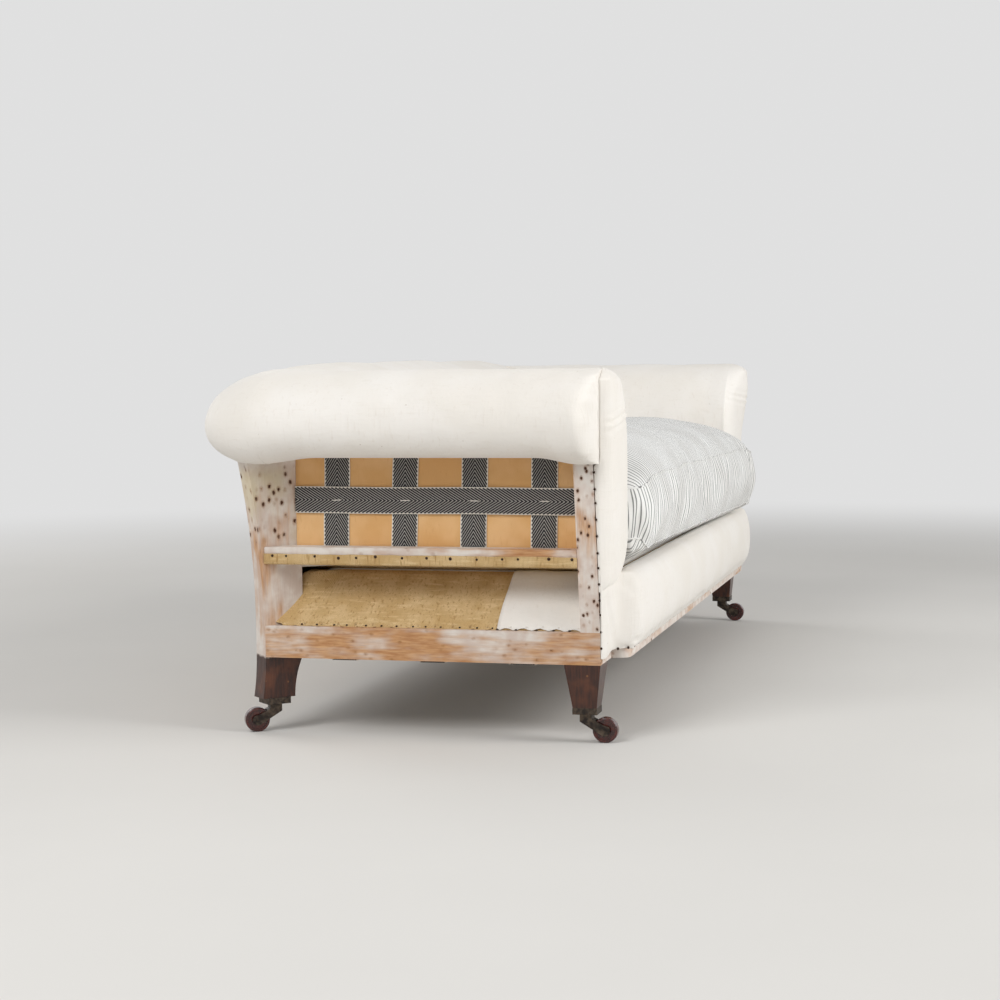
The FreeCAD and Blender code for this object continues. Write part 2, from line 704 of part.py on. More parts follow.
# Seat webbing under the rails: webs from front to back, and long webs beneath them.
strips = []
web_edge = S["hessian_edge"]
columns = round(S["spring_columns"].value)
rows = round(S["spring_rows"].value)
column_places = [(number - (columns - 1) / 2) * S["spring_pitch"] for number in range(columns)]
row_places = [front + S["spring_row_front"] + number * S["spring_row_pitch"] for number in range(rows)]
web_low = S["leg_height"] - S["cloth_thickness"]
for number, middle in enumerate(column_places):
    strips.append(box(
        f"seat_web_{number}", (middle - S["webbing_width"] / 2, front + web_edge, web_low),
        (middle + S["webbing_width"] / 2, back - web_edge, S["leg_height"])))
for number, middle in enumerate(row_places):
    strips.append(box(
        f"seat_long_web_{number}",
        (web_edge - half_length, middle - S["webbing_width"] / 2, web_low - S["cloth_thickness"]),
        (half_length - web_edge, middle + S["webbing_width"] / 2, web_low)))
group("seat_webbing", strips)


def biarc(start, start_way, end, end_way):
    """Two arcs that leave start and reach end in the given directions."""
    gap = end - start
    ways = start_way + end_way
    slope = gap.dot(ways)
    square = 2 * (1 - start_way.dot(end_way))
    reach = (-slope + math.sqrt(slope * slope + square * gap.dot(gap))) / square
    middle = (start + start_way * reach + end - end_way * reach) * 0.5
    return [arc_from(start, start_way, middle), arc_from(end, end_way * -1, middle, backwards=True)]


def arc_from(start, way, end, backwards=False):
    """The arc that leaves start along way and passes through end."""
    chord = end - start
    across = chord - way * chord.dot(way)
    radius = chord.dot(chord) / (2 * across.Length)
    centre = start + across.normalize() * radius
    middle = centre + ((start + end) * 0.5 - centre).normalize() * radius
    return Part.Arc(end, middle, start) if backwards else Part.Arc(start, middle, end)


def coil_spring(base, height):
    """A waisted coil spring as one wire, in quarter turns."""
    wire = S["spring_wire"].value / 2
    turns = S["spring_turns"].value
    end_radius, waist = S["spring_radius"].value, S["spring_waist"].value
    rise = height - 2 * wire

    def point(share):
        radius = waist + (end_radius - waist) * (2 * share - 1) ** 2
        angle = 2 * math.pi * turns * share
        return base + Vector(radius * math.cos(angle), radius * math.sin(angle), wire + rise * share)

    def way(share):
        step = 1e-5
        return (point(share + step) - point(share - step)).normalize()

    quarters = round(4 * turns)
    edges = []
    for quarter in range(quarters):
        one, other = quarter / quarters, (quarter + 1) / quarters
        edges += [arc.toShape() for arc in biarc(point(one), way(one), point(other), way(other))]
    circle = Part.Wire(Part.makeCircle(wire, point(0), way(0)))
    return Part.Solid(Part.Wire(edges).makePipeShell([circle], True, False)), rise / turns - 2 * wire


# Coil springs, stood on the webbing under the hessian.
hessian_top = S["deck_level"] - S["stuffing_thickness"]
spring_height = (hessian_top - S["cloth_thickness"] - S["leg_height"]).value
spring, coil_gap = coil_spring(Vector(0, 0, 0), spring_height)
print(f"least gap between the coils of a spring: {coil_gap:.1f} mm")
springs = []
for x in column_places:
    for y in row_places:
        springs.append(spring.translated(Vector(x.value, y.value, S["leg_height"].value)))
solid("seat_springs", Part.makeCompound(springs))


def hipped(inset, floor, ceiling):
    """A block over the seat rails with sloping ends and back, drawn in by inset."""
    edge = S["hessian_edge"].value + inset
    slope = S["hessian_slope"].value
    fore = front.value + S["facing_board_thickness"].value + S["clearance"].value + inset

    def ring(lean, up):
        x = half_length.value - edge - lean
        y = back.value - edge - lean
        points = [Vector(-x, fore, up), Vector(x, fore, up), Vector(x, y, up), Vector(-x, y, up)]
        return Part.makePolygon(points + points[:1])

    return Part.makeLoft([ring(0, floor), ring(slope, ceiling)], True, True)


# Hessian drawn over the springs and tacked to the tops of the seat rails.
cloth = S["cloth_thickness"].value
hessian = hipped(0, rail_top.value, hessian_top.value)
hessian = hessian.cut(hipped(cloth, rail_top.value - cloth, hessian_top.value - cloth))
for name, side in SIDES:
    hessian = hessian.cut(post_room(side))
    room = S["clearance"].value
    block = [(-room, front.value - room), (S["rail_thickness"].value + room, front.value - room)]
    depth = front_post_back.value + room
    block += [(x, depth) for x, y in reversed(block)]
    block = [((half_length.value - p) * side, y) for p, y in block]
    hessian = hessian.cut(plan_prism(block, 0, S["post_top"].value))
    stud_middle = S["stud_spread"].value / 2 * side
    stud_half = S["stud_width"].value / 2 + room
    stud_plan = [(stud_middle - stud_half, back.value), (stud_middle + stud_half, back.value)]
    stud_plan += [(x, back_rail_front.value - room) for x, y in reversed(stud_plan)]
    hessian = hessian.cut(plan_prism(stud_plan, 0, S["post_top"].value))
solid("spring_hessian", only_solid(hessian))

# Stuffing on the springs, level with the top of the front border.
stuffing_end = half_length - S["hessian_edge"] - S["hessian_slope"]
stuffing_back = back - S["hessian_edge"] - S["hessian_slope"]
keep("seat_stuffing", box(
    "seat_stuffing", (-stuffing_end, cloth_front, hessian_top),
    (stuffing_end, stuffing_back, S["deck_level"])))

# Calico returns: the front of the spring hessian, covered at each end.
slope_run = S["hessian_slope"].value
slope_rise = (hessian_top - rail_top).value
slope_length = math.hypot(slope_run, slope_rise)
for name, side in SIDES:
    def on_slope(along, proud):
        out = -S["hessian_edge"].value - slope_run * along / slope_length + slope_rise * proud / slope_length
        up = rail_top.value + slope_rise * along / slope_length + slope_run * proud / slope_length
        return Vector((half_length.value + out) * side, front_post_back.value + S["clearance"].value, up)

    room = S["clearance"].value
    rise = slope_length - S["return_margin"].value
    section = [(room, room), (rise, room), (rise, room + cloth), (room, room + cloth)]
    points = [on_slope(along, proud) for along, proud in section]
    sheet_face = Part.Face(Part.makePolygon(points + points[:1]))
    solid(f"calico_return_{name}", sheet_face.extrude(Vector(0, S["return_length"].value, 0)))


def border_section(x, bulge, draw):
    """The front border at one place along the seat: its front swells over the lip board."""
    face = lip_face.value
    low = S["facing_level"].value + draw
    high = S["deck_level"].value - draw
    ledge = rail_top.value
    rear = front.value
    swell = (low + high) / 2
    shoulder = high - 2 * bulge
    edges = [
        Part.Arc(
            Vector(x, face, low), Vector(x, face - bulge, swell),
            Vector(x, face - bulge / 2, shoulder)).toShape(),
        Part.Arc(
            Vector(x, face - bulge / 2, shoulder), Vector(x, face + bulge / 4, high - bulge / 2),
            Vector(x, face + bulge, high)).toShape(),
    ]
    corners = [(face + bulge, high), (rear, high), (rear, ledge), (face, ledge), (face, low)]
    for one, other in zip(corners, corners[1:]):
        edges.append(Part.makeLine(Vector(x, *one), Vector(x, *other)))
    return Part.Wire(edges)


# Front border: a stuffed roll on the lip board, with its ends drawn in, and the stuffing
# behind it between the facing boards.
bulge = S["border_bulge"].value
end_draw = S["border_end_draw"].value
border_half = lip_half.value
sections = [
    border_section(-border_half, bulge / 2, bulge / 4),
    border_section(end_draw - border_half, bulge, 0),
    border_section(border_half - end_draw, bulge, 0),
    border_section(border_half, bulge / 2, bulge / 4),
]
border = Part.makeLoft(sections, True, True)
inner_half = (half_length - S["arm_reach"]).value
filling = Part.makeBox(
    2 * inner_half, S["facing_board_thickness"].value, (S["deck_level"] - rail_top).value,
    Vector(-inner_half, front.value, rail_top.value))
solid("front_border", only_solid(border.fuse(filling).removeSplitter()))


def cushion_outline(inset, up, draw):
    """A rounded oblong whose sides draw in between its corners."""
    gap = S["cushion_side_gap"].value
    x = half_length.value - S["arm_reach"].value - gap - inset
    near = -half_depth.value + inset
    far = back.value - S["back_reach"].value - gap - inset
    r = S["cushion_corner"].value
    k = r * (1 - math.sqrt(0.5))
    middle = (near + far) / 2
    points = [
        (x - r, near), (x - k, near + k), (x, near + r), (x - draw, middle), (x, far - r), (x - k, far - k),
        (x - r, far), (0, far - draw), (r - x, far), (k - x, far - k), (-x, far - r), (draw - x, middle),
        (-x, near + r), (k - x, near + k), (r - x, near), (0, near + draw),
    ]
    points = [Vector(px, py, up) for px, py in points]
    points.append(points[0])
    edges = [Part.Arc(*points[start:start + 3]).toShape() for start in range(0, len(points) - 2, 2)]
    return Part.Wire(edges)


# The loose seat cushion: bulging sides up to a seam, then a deep feather crown.
floor = pad_floor.value
seam = S["cushion_seam"].value
belly = S["cushion_belly"].value
crown = S["cushion_crown"].value
draw = S["cushion_draw"].value
puff = crown - seam
half_seat = (half_depth + back - S["back_reach"] - S["cushion_side_gap"]).value / 2
CUSHION_LEVELS = [
    (0, draw * 3, draw),
    (belly * 0.3, draw * 0.8, draw),
    (belly, 0, draw / 2),
    (belly + (seam - belly) * 0.7, draw * 0.4, draw),
    (seam, draw, draw),
    (seam + puff * 0.36, half_seat * 0.11, draw * 0.8),
    (seam + puff * 0.64, half_seat * 0.26, draw * 0.6),
    (seam + puff * 0.86, half_seat * 0.47, draw * 0.3),
    (seam + puff, half_seat * 0.72, draw * 0.1),
]
outlines = [cushion_outline(inset, floor + up, sag) for up, inset, sag in CUSHION_LEVELS]
solid("seat_cushion", Part.makeLoft(outlines, True, True))

# Tack heads: along the lip board under the border, and up the front posts.
tacks = []
head_radius, head_height = S["tack_radius"].value, S["tack_height"].value
edge = S["tack_edge"].value
tack_run = 2 * (lip_half - S["lip_corner"]).value
count = int(tack_run // S["lip_tack_pitch"].value)
for number in range(count + 1):
    x = (number - count / 2) * S["lip_tack_pitch"].value
    spot = Vector(x, lip_face.value, S["facing_level"].value - edge)
    tacks.append(Part.makeCylinder(head_radius, head_height, spot, Vector(0, -1, 0)))
post_height = (S["post_top"] - rail_top).value
bare_height = (S["roll_underside"] - rail_top).value
count = int((bare_height - 2 * edge) // S["post_tack_pitch"].value)
for name, side in SIDES:
    for number in range(count + 1):
        up = edge + number * S["post_tack_pitch"].value
        lean = S["front_post_lean"].value * up / post_height
        spot = Vector(half_length.value * side, front.value + lean + edge, rail_top.value + up)
        tacks.append(Part.makeCylinder(head_radius, head_height, spot, Vector(side, 0, 0)))
solid("upholstery_tacks", Part.makeCompound(tacks))

# Castors. Each has a plate with a riveted stem on the leg, a horn that swivels on the stem, and
# a wheel on an axle pin in the horn. In a castor's own frame the horn trails along +X.
slot = S["wheel_width"] + 2 * S["wheel_side_room"]
horn_width = slot + 2 * S["castor_cheek"]
plate_floor = S["castor_height"] - S["castor_plate_thickness"]
hub_top = plate_floor - S["clearance"]
head_top = S["castor_hub_floor"] - S["clearance"]
foot_centre = S["front_leg_foot"] / 2
rear_centre = chamfer / 2 + (S["corner_foot_width"] / 2 - S["corner_foot_splay"]) / math.sqrt(2)
CASTORS = []
for name, side in SIDES:
    CASTORS.append((
        f"front_{name}", (half_length - S["front_leg_set_in"] - foot_centre) * side,
        front + S["front_leg_set_back"] + foot_centre, -90, 0))
    turn = 90 - S["castor_rear_turn"].value * side
    CASTORS.append((
        f"rear_{name}", (half_length - rear_centre) * side, back - rear_centre, turn, 45))

up_axis = Vector(0, 0, 1)
plates = []
for name, x, y, turn, plate_turn in CASTORS:
    body = doc.addObject("PartDesign::Body", f"plate_{name}")
    edge = S["castor_plate"] / 2
    square = [(-edge, -edge), (edge, -edge), (edge, edge), (-edge, edge)]
    pad(body, sketch_outline(body, f"plate_{name}_outline", "XY_Plane", square), S["castor_plate_thickness"])
    profile = [
        (0, 0), (S["castor_stem"], 0), (S["castor_stem"], head_top - plate_floor),
        (S["castor_stem_head"], head_top - plate_floor),
        (S["castor_stem_head"], head_top - plate_floor - S["castor_head_height"]),
        (0, head_top - plate_floor - S["castor_head_height"]),
    ]
    stem = body.newObject("PartDesign::Revolution", f"stem_{name}")
    stem_sketch = sketch_outline(body, f"stem_{name}_outline", "XZ_Plane", profile)
    stem.Profile = stem_sketch
    stem.ReferenceAxis = (stem_sketch, ["V_Axis"])
    stem.Angle = 360
    plates.append(place(body, x, y, plate_floor, (up_axis, plate_turn)))
group("castor_plates", plates)

for name, x, y, turn, plate_turn in CASTORS:
    body = doc.addObject("PartDesign::Body", f"castor_horn_{name}")
    hub = S["castor_hub"]
    trail = S["castor_trail"]
    axle = S["wheel_radius"]
    end = S["castor_end_radius"]
    diagonal = end * math.sqrt(0.5)
    profile = [
        (-hub, hub_top),
        (-hub, S["castor_hub_floor"]),
        (trail - diagonal, axle - diagonal),
        (trail + diagonal, axle - diagonal),
        (trail + diagonal, axle + diagonal),
        (trail - diagonal / 2, axle + end),
        (hub, S["castor_hub_floor"] + S["castor_cheek"]),
        (hub, hub_top),
    ]
    arcs = {2: (end, -1), 3: (end, -1)}
    outline = sketch_outline(body, f"horn_{name}_outline", "XZ_Plane", profile, arcs)
    pad(body, outline, horn_width, midplane=True)
    room = S["wheel_radius"] + S["wheel_rim_room"]
    pocket(body, sketch_circle(body, f"horn_{name}_wheel_room", "XZ_Plane", trail, axle, room), slot)
    under = [(-hub * 2, 0), (trail, 0), (trail, S["castor_hub_floor"]), (-hub * 2, S["castor_hub_floor"])]
    pocket(body, sketch_outline(body, f"horn_{name}_under", "XZ_Plane", under), slot)
    bore = S["castor_stem"] + S["running_room"]
    pocket(body, sketch_circle(body, f"horn_{name}_bore", "XY_Plane", 0, 0, bore), S["castor_height"] * 2)
    eye = sketch_circle(body, f"horn_{name}_eye", "XZ_Plane", trail, axle, S["axle_radius"])
    pocket(body, eye, horn_width * 2)
    place(keep(f"castor_horn_{name}", body), x, y, 0, (up_axis, turn))

for name, x, y, turn, plate_turn in CASTORS:
    angle = math.radians(turn)
    wheel_x = x + S["castor_trail"] * math.cos(angle)
    wheel_y = y + S["castor_trail"] * math.sin(angle)
    across = Rotation(up_axis, turn).multiply(Rotation(Vector(1, 0, 0), 90))
    length = horn_width + 2 * S["axle_end"]
    pin = doc.addObject("Part::Cylinder", f"castor_axle_{name}")
    pin.setExpression("Radius", S["axle_radius"].formula)
    pin.setExpression("Height", length.formula)
    pin.Placement = Placement(Vector(), across)
    pin_x = wheel_x - length / 2 * math.sin(angle)
    pin_y = wheel_y + length / 2 * math.cos(angle)
    place(keep(f"castor_axle_{name}", pin), pin_x, pin_y, S["wheel_radius"])

    body = doc.addObject("PartDesign::Body", f"castor_wheel_{name}")
    half = S["wheel_width"] / 2
    rim = S["wheel_radius"]
    edge = S["wheel_edge"]
    bore = S["axle_radius"] + S["running_room"]
    inner_rim = rim - S["wheel_rim"]
    dish = half - S["wheel_dish"]
    profile = [
        (bore, -half), (S["wheel_boss"], -half), (S["wheel_boss"], -dish), (inner_rim, -dish),
        (inner_rim, -half), (rim - edge, -half), (rim, edge - half), (rim, half - edge), (rim - edge, half),
        (inner_rim, half), (inner_rim, dish), (S["wheel_boss"], dish), (S["wheel_boss"], half), (bore, half),
    ]
    arcs = {5: (edge, -1), 7: (edge, -1)}
    outline = sketch_outline(body, f"wheel_{name}_outline", "XY_Plane", profile, arcs)
    spin = body.newObject("PartDesign::Revolution", f"wheel_{name}_turned")
    spin.Profile = outline
    spin.ReferenceAxis = (outline, ["V_Axis"])
    spin.Angle = 360
    body.Placement = Placement(Vector(), Rotation(up_axis, turn))
    place(keep(f"castor_wheel_{name}", body), wheel_x, wheel_y, S["wheel_radius"])

doc.recompute()
for feature in doc.Objects:
    if "Invalid" in feature.State or "Error" in feature.State:
        raise RuntimeError(f"{feature.Label}: {feature.State}")
for label, feature in SUBPARTS.items():
    if feature.Shape.isNull() or not feature.Shape.isValid() or not feature.Shape.Solids:
        raise RuntimeError(f"{label}: the shape is not a valid solid")

os.makedirs("parts", exist_ok=True)
for label, feature in SUBPARTS.items():
    feature.Shape.exportStep(f"parts/{label}.step")
print(f"{len(SUBPARTS)} sub-parts written")
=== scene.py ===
import math
import random

import bmesh
import bpy
from mathutils import Matrix, Vector, noise


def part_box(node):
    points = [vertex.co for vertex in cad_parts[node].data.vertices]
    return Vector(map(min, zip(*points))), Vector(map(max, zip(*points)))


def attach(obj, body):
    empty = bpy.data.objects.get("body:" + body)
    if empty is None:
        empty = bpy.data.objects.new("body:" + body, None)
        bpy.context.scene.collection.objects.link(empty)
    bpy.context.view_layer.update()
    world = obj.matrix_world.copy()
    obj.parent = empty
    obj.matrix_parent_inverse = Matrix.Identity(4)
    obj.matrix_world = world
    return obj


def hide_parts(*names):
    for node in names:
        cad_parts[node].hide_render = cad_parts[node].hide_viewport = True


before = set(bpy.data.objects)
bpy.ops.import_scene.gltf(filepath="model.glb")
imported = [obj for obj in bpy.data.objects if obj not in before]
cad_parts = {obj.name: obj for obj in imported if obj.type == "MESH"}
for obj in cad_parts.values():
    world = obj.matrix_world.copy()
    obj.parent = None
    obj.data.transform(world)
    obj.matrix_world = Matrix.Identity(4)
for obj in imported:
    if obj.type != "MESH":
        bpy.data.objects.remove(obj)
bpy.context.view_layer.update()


# The frame: beech rails and posts, planed and dowelled together. Old whitewash, glue and rust
# are left on it from earlier rounds of tacks, so the wood shows orange only where that has worn.
def dye(red, green, blue):
    """A colour written in screen values, as a shader takes it."""
    def linear(level):
        share = level / 255
        return share / 12.92 if share <= 0.04045 else ((share + 0.055) / 1.055) ** 2.4

    return (linear(red), linear(green), linear(blue), 1.0)


class Finish:
    """A finish of one surface: a shader and the nodes that feed it."""

    def __init__(self, name, **sockets):
        self.material = bpy.data.materials.new(name)
        self.material.use_nodes = True
        self.tree = self.material.node_tree
        self.surface = self.tree.nodes["Principled BSDF"]
        for socket, value in sockets.items():
            self.surface.inputs[socket.replace("_", " ")].default_value = value
        coordinates = self.tree.nodes.new("ShaderNodeTexCoord")
        self.place = coordinates.outputs["Object"]
        self.cut = coordinates.outputs["UV"]
        self.normal = None

    def feed(self, socket, value):
        if isinstance(value, bpy.types.NodeSocket):
            self.tree.links.new(value, socket)
        else:
            socket.default_value = value

    def calc(self, operation, first, second=0.0):
        node = self.tree.nodes.new("ShaderNodeMath")
        node.operation = operation
        self.feed(node.inputs[0], first)
        self.feed(node.inputs[1], second)
        return node.outputs[0]

    def axes(self, where):
        node = self.tree.nodes.new("ShaderNodeSeparateXYZ")
        self.feed(node.inputs[0], where)
        return node.outputs

    def scaled(self, size, stretch):
        node = self.tree.nodes.new("ShaderNodeMapping")
        self.feed(node.inputs["Vector"], self.place)
        node.inputs["Scale"].default_value = [1 / (size * share) for share in stretch]
        return node.outputs[0]

    def noise(self, size, detail=3.0, stretch=(1, 1, 1)):
        """Noise whose features are about size metres, drawn out along an axis by stretch."""
        node = self.tree.nodes.new("ShaderNodeTexNoise")
        self.feed(node.inputs["Vector"], self.scaled(size, stretch))
        node.inputs["Scale"].default_value = 1.0
        node.inputs["Detail"].default_value = detail
        return node.outputs[0]

    def spots(self, size, stretch=(1, 1, 1)):
        """The distance to scattered points, in spacings, and a random number for each point."""
        node = self.tree.nodes.new("ShaderNodeTexVoronoi")
        self.feed(node.inputs["Vector"], self.scaled(size, stretch))
        node.inputs["Scale"].default_value = 1.0
        split = self.tree.nodes.new("ShaderNodeSeparateColor")
        self.feed(split.inputs[0], node.outputs["Color"])
        return node.outputs["Distance"], split.outputs[0]

    def step(self, value, low, high):
        """0 below low, 1 above high, and a smooth rise between them."""
        node = self.tree.nodes.new("ShaderNodeMapRange")
        node.interpolation_type = "SMOOTHSTEP"
        self.feed(node.inputs["Value"], value)
        down = low > high
        node.inputs["From Min"].default_value = min(low, high)
        node.inputs["From Max"].default_value = max(low, high)
        node.inputs["To Min"].default_value = 1.0 if down else 0.0
        node.inputs["To Max"].default_value = 0.0 if down else 1.0
        return node.outputs[0]

    def mix(self, share, one, other):
        node = self.tree.nodes.new("ShaderNodeMix")
        node.data_type = "RGBA"
        for number, value in ((0, share), (6, one), (7, other)):
            self.feed(node.inputs[number], value)
        return node.outputs[2]

    def span(self, share, low, high):
        """A number that goes from low to high with share."""
        return self.calc("ADD", self.calc("MULTIPLY", share, high - low), low)

    def colour(self, value):
        self.feed(self.surface.inputs["Base Color"], value)

    def rough(self, value):
        self.feed(self.surface.inputs["Roughness"], value)

    def bump(self, height, depth, strength=1.0):
        """Raise the surface by height times depth metres, on top of earlier bumps."""
        node = self.tree.nodes.new("ShaderNodeBump")
        node.inputs["Distance"].default_value = depth
        node.inputs["Strength"].default_value = strength
        self.feed(node.inputs["Height"], height)
        if self.normal:
            self.feed(node.inputs["Normal"], self.normal)
        self.normal = node.outputs[0]
        self.feed(self.surface.inputs["Normal"], self.normal)


GRAIN = {"x": (9, 1, 1), "y": (1, 9, 1), "z": (1, 1, 9)}
BEECH_PALE = dye(206, 160, 114)
BEECH_DARK = dye(172, 120, 76)
WASH_PALE = dye(226, 219, 211)
WASH_PINK = dye(208, 192, 181)
GLUE = dye(206, 190, 148)
RUST = dye(146, 96, 44)
HOLE = dye(76, 44, 22)
LEG_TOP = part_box("end_rail_left")[0].z


def polish(finish, along):
    """Red-brown polish over the grain: its colour and its roughness."""
    grain = finish.noise(0.005, 4, GRAIN[along])
    cloud = finish.noise(0.05, 3)
    brown = finish.mix(finish.step(grain, 0.3, 0.7), dye(42, 19, 11), dye(74, 37, 20))
    brown = finish.mix(finish.step(cloud, 0.52, 0.75), brown, dye(92, 50, 28))
    wear, pick = finish.spots(0.016)
    chips = finish.calc("MULTIPLY", finish.step(wear, 0.2, 0.08), finish.step(pick, 0.8, 0.84))
    brown = finish.mix(chips, brown, dye(126, 82, 48))
    return brown, finish.span(cloud, 0.24, 0.44)


def bare_beech(name, along, wash, holes, hole_size=0.017, polished_foot=False, hole_band=None):
    """Beech with a share of whitewash left on it and tack holes with rust round them.

    hole_band is the height between which the holes crowd, where they do."""
    finish = Finish(name)
    grain = finish.noise(0.004, 5, GRAIN[along])
    streak = finish.noise(0.014, 4, GRAIN[along])
    patch = finish.noise(0.085, 4, [max(1, share / 4) for share in GRAIN[along]])
    wood = finish.mix(finish.step(grain, 0.25, 0.78), BEECH_DARK, BEECH_PALE)
    lime = finish.mix(finish.step(finish.noise(0.04), 0.35, 0.68), WASH_PINK, WASH_PALE)
    cover = finish.calc("ADD", patch, finish.calc("MULTIPLY", streak, 0.36))
    edge = 0.90 - 0.42 * wash
    tone = finish.mix(finish.step(cover, edge - 0.13, edge + 0.12), wood, lime)
    ragged_edge = finish.span(finish.noise(0.004, 3), -0.12, 0.12)
    distance, pick = finish.spots(hole_size, [1 + share / 18 for share in GRAIN[along]])
    distance = finish.calc("ADD", distance, ragged_edge)
    chosen = finish.step(pick, 1 - holes, 1 - holes + 0.02)
    if hole_band:
        height = finish.axes(finish.place)[2]
        crowd = finish.calc("MULTIPLY", finish.step(height, hole_band[0] - 0.02, hole_band[0] + 0.02),
                            finish.step(height, hole_band[1] + 0.02, hole_band[1] - 0.02))
        chosen = finish.calc("MULTIPLY", chosen, crowd)
        tone = finish.mix(finish.calc("MULTIPLY", finish.step(patch, 0.42, 0.62),
                                      finish.calc("MULTIPLY", crowd, 0.6)), tone, GLUE)
    stain = finish.calc("MULTIPLY", finish.step(distance, 0.5, 0.14), chosen)
    hole = finish.calc("MULTIPLY", finish.step(distance, 0.25, 0.15), chosen)
    tone = finish.mix(finish.calc("MULTIPLY", stain, 0.6), tone, RUST)
    tone = finish.mix(hole, tone, HOLE)
    matt = finish.span(grain, 0.66, 0.88)
    if polished_foot:
        level = finish.axes(finish.place)[2]
        ragged = finish.calc("ADD", level, finish.span(finish.noise(0.012), -0.007, 0.007))
        foot = finish.step(ragged, LEG_TOP + 0.004, LEG_TOP - 0.003)
        brown, gloss = polish(finish, along)
        tone = finish.mix(foot, tone, brown)
        apart = finish.calc("SUBTRACT", gloss, matt)
        matt = finish.calc("ADD", matt, finish.calc("MULTIPLY", apart, foot))
    finish.colour(tone)
    finish.rough(matt)
    finish.bump(grain, 0.0007)
    finish.bump(cover, 0.0008)
    finish.bump(finish.calc("SUBTRACT", 1.0, hole), 0.002)
    return finish.material


def dress(material, *nodes):
    """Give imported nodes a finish."""
    for node in nodes:
        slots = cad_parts[node].data.materials
        slots.clear()
        slots.append(material)


def both(stem):
    return (f"{stem}_left", f"{stem}_right")


def belongs(piece, slot_name, *nodes, body="sofa"):
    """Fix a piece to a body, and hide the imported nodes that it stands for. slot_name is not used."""
    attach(piece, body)
    if nodes:
        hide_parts(*nodes)


dress(bare_beech("beech_end_rails", "y", 0.5, 0.24, 0.0105), *both("end_rail"))
rail_beech = bare_beech("beech_stuffing_rails", "y", 0.85, 0.12, 0.012)
dress(rail_beech, *both("arm_top_rail"))
dress(bare_beech("beech_long_rails", "x", 0.52, 0.12), "front_rail", "back_rail", "back_top_rail")
dress(bare_beech("beech_back_stuffing_rail", "x", 0.85, 0.12), "back_stuffing_rail")
dress(bare_beech("beech_lip", "x", 0.72, 0.10, 0.012), "lip_board")
dress(bare_beech("beech_inside", "y", 0.25, 0.04), "seat_cross_rail")
dress(bare_beech("beech_studs", "z", 0.5, 0.08), "back_studs", "corner_blocks", *both("facing_board"))
dress(bare_beech("beech_front_posts", "z", 0.60, 0.5, 0.0105), *both("front_post"))
dress(bare_beech("beech_rear_posts", "z", 0.78, 0.8, 0.0135, polished_foot=True, hole_band=(0.39, 0.535)),
      *both("rear_post"))


# Arm stuffing rails: beech rails half way up the open ends. Their front ends are cut to the lean
# of the front posts and their rear ends to the diagonal of the corner posts.
END_CUT = 0.0012
post_points = [vert.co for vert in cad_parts["front_post_left"].data.vertices]
POST_LOW, POST_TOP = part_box("front_post_left")[0].z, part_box("front_post_left")[1].z
POST_BACK_LOW = max(point.y for point in post_points if point.z < POST_LOW + 0.001)
POST_BACK_TOP = max(point.y for point in post_points if point.z > POST_TOP - 0.001)


def post_back(up):
    """The back of the front posts, which lean back towards the top."""
    return POST_BACK_LOW + (POST_BACK_TOP - POST_BACK_LOW) * (up - POST_LOW) / (POST_TOP - POST_LOW)


for side in ("left", "right"):
    low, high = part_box(f"arm_rail_{side}")
    outer, inner = (low.x, high.x) if side == "left" else (high.x, low.x)
    plank = bmesh.new()
    ends = []
    for up in (low.z, high.z):
        plan = ((outer, post_back(up)), (inner, post_back(up)),
                (inner, high.y - (high.x - low.x)), (outer, high.y))
        ends.append([plank.verts.new((x, y, up)) for x, y in plan])
    plank.faces.new(ends[0])
    plank.faces.new(ends[1])
    for number in range(4):
        after = (number + 1) % 4
        plank.faces.new((ends[0][number], ends[0][after], ends[1][after], ends[1][number]))
    bmesh.ops.recalc_face_normals(plank, faces=plank.faces)
    bmesh.ops.bevel(plank, geom=plank.edges[:], offset=END_CUT, segments=2, affect="EDGES")
    rail_mesh = bpy.data.meshes.new(f"arm_stuffing_rail_{side}")
    plank.to_mesh(rail_mesh)
    plank.free()
    rail_mesh.materials.append(rail_beech)
    rail = bpy.data.objects.new(f"arm_stuffing_rail_{side}", rail_mesh)
    bpy.context.scene.collection.objects.link(rail)
    belongs(rail, "bare_wood", f"arm_rail_{side}")


# Front legs: square tapers of polished beech under the corners of the frame. The polish is
# thin at the edges and chipped where castors and brooms have knocked it.
leg_polish = Finish("leg_polish", Coat_Weight=0.08, Coat_Roughness=0.3)
leg_brown, leg_gloss = polish(leg_polish, "z")
leg_polish.colour(leg_brown)
leg_polish.rough(leg_gloss)
leg_polish.bump(leg_polish.noise(0.005, 4, GRAIN["z"]), 0.0004)
dress(leg_polish.material, *both("front_leg"))


# Castors: cast plates riveted to the legs, forked horns that swivel under them, steel axle pins
# and turned brown wheels. The iron is dark and rubbed, and the wheels are worn glossy.
iron = Finish("castor_iron", Metallic=0.8)
iron_cloud = iron.noise(0.012, 4)
iron_tone = iron.mix(iron.step(iron_cloud, 0.35, 0.7), dye(48, 43, 40), dye(98, 86, 74))
iron_pits, _ = iron.spots(0.004)
iron.colour(iron.mix(iron.step(iron_pits, 0.25, 0.1), iron_tone, dye(74, 48, 34)))
iron.rough(iron.span(iron_cloud, 0.36, 0.62))
iron.bump(iron.noise(0.003, 4), 0.0006)
horns = [f"castor_horn_{end}_{side}" for end in ("front", "rear") for side in ("left", "right")]
dress(iron.material, "castor_plates", *horns, *[name.replace("horn", "axle") for name in horns])

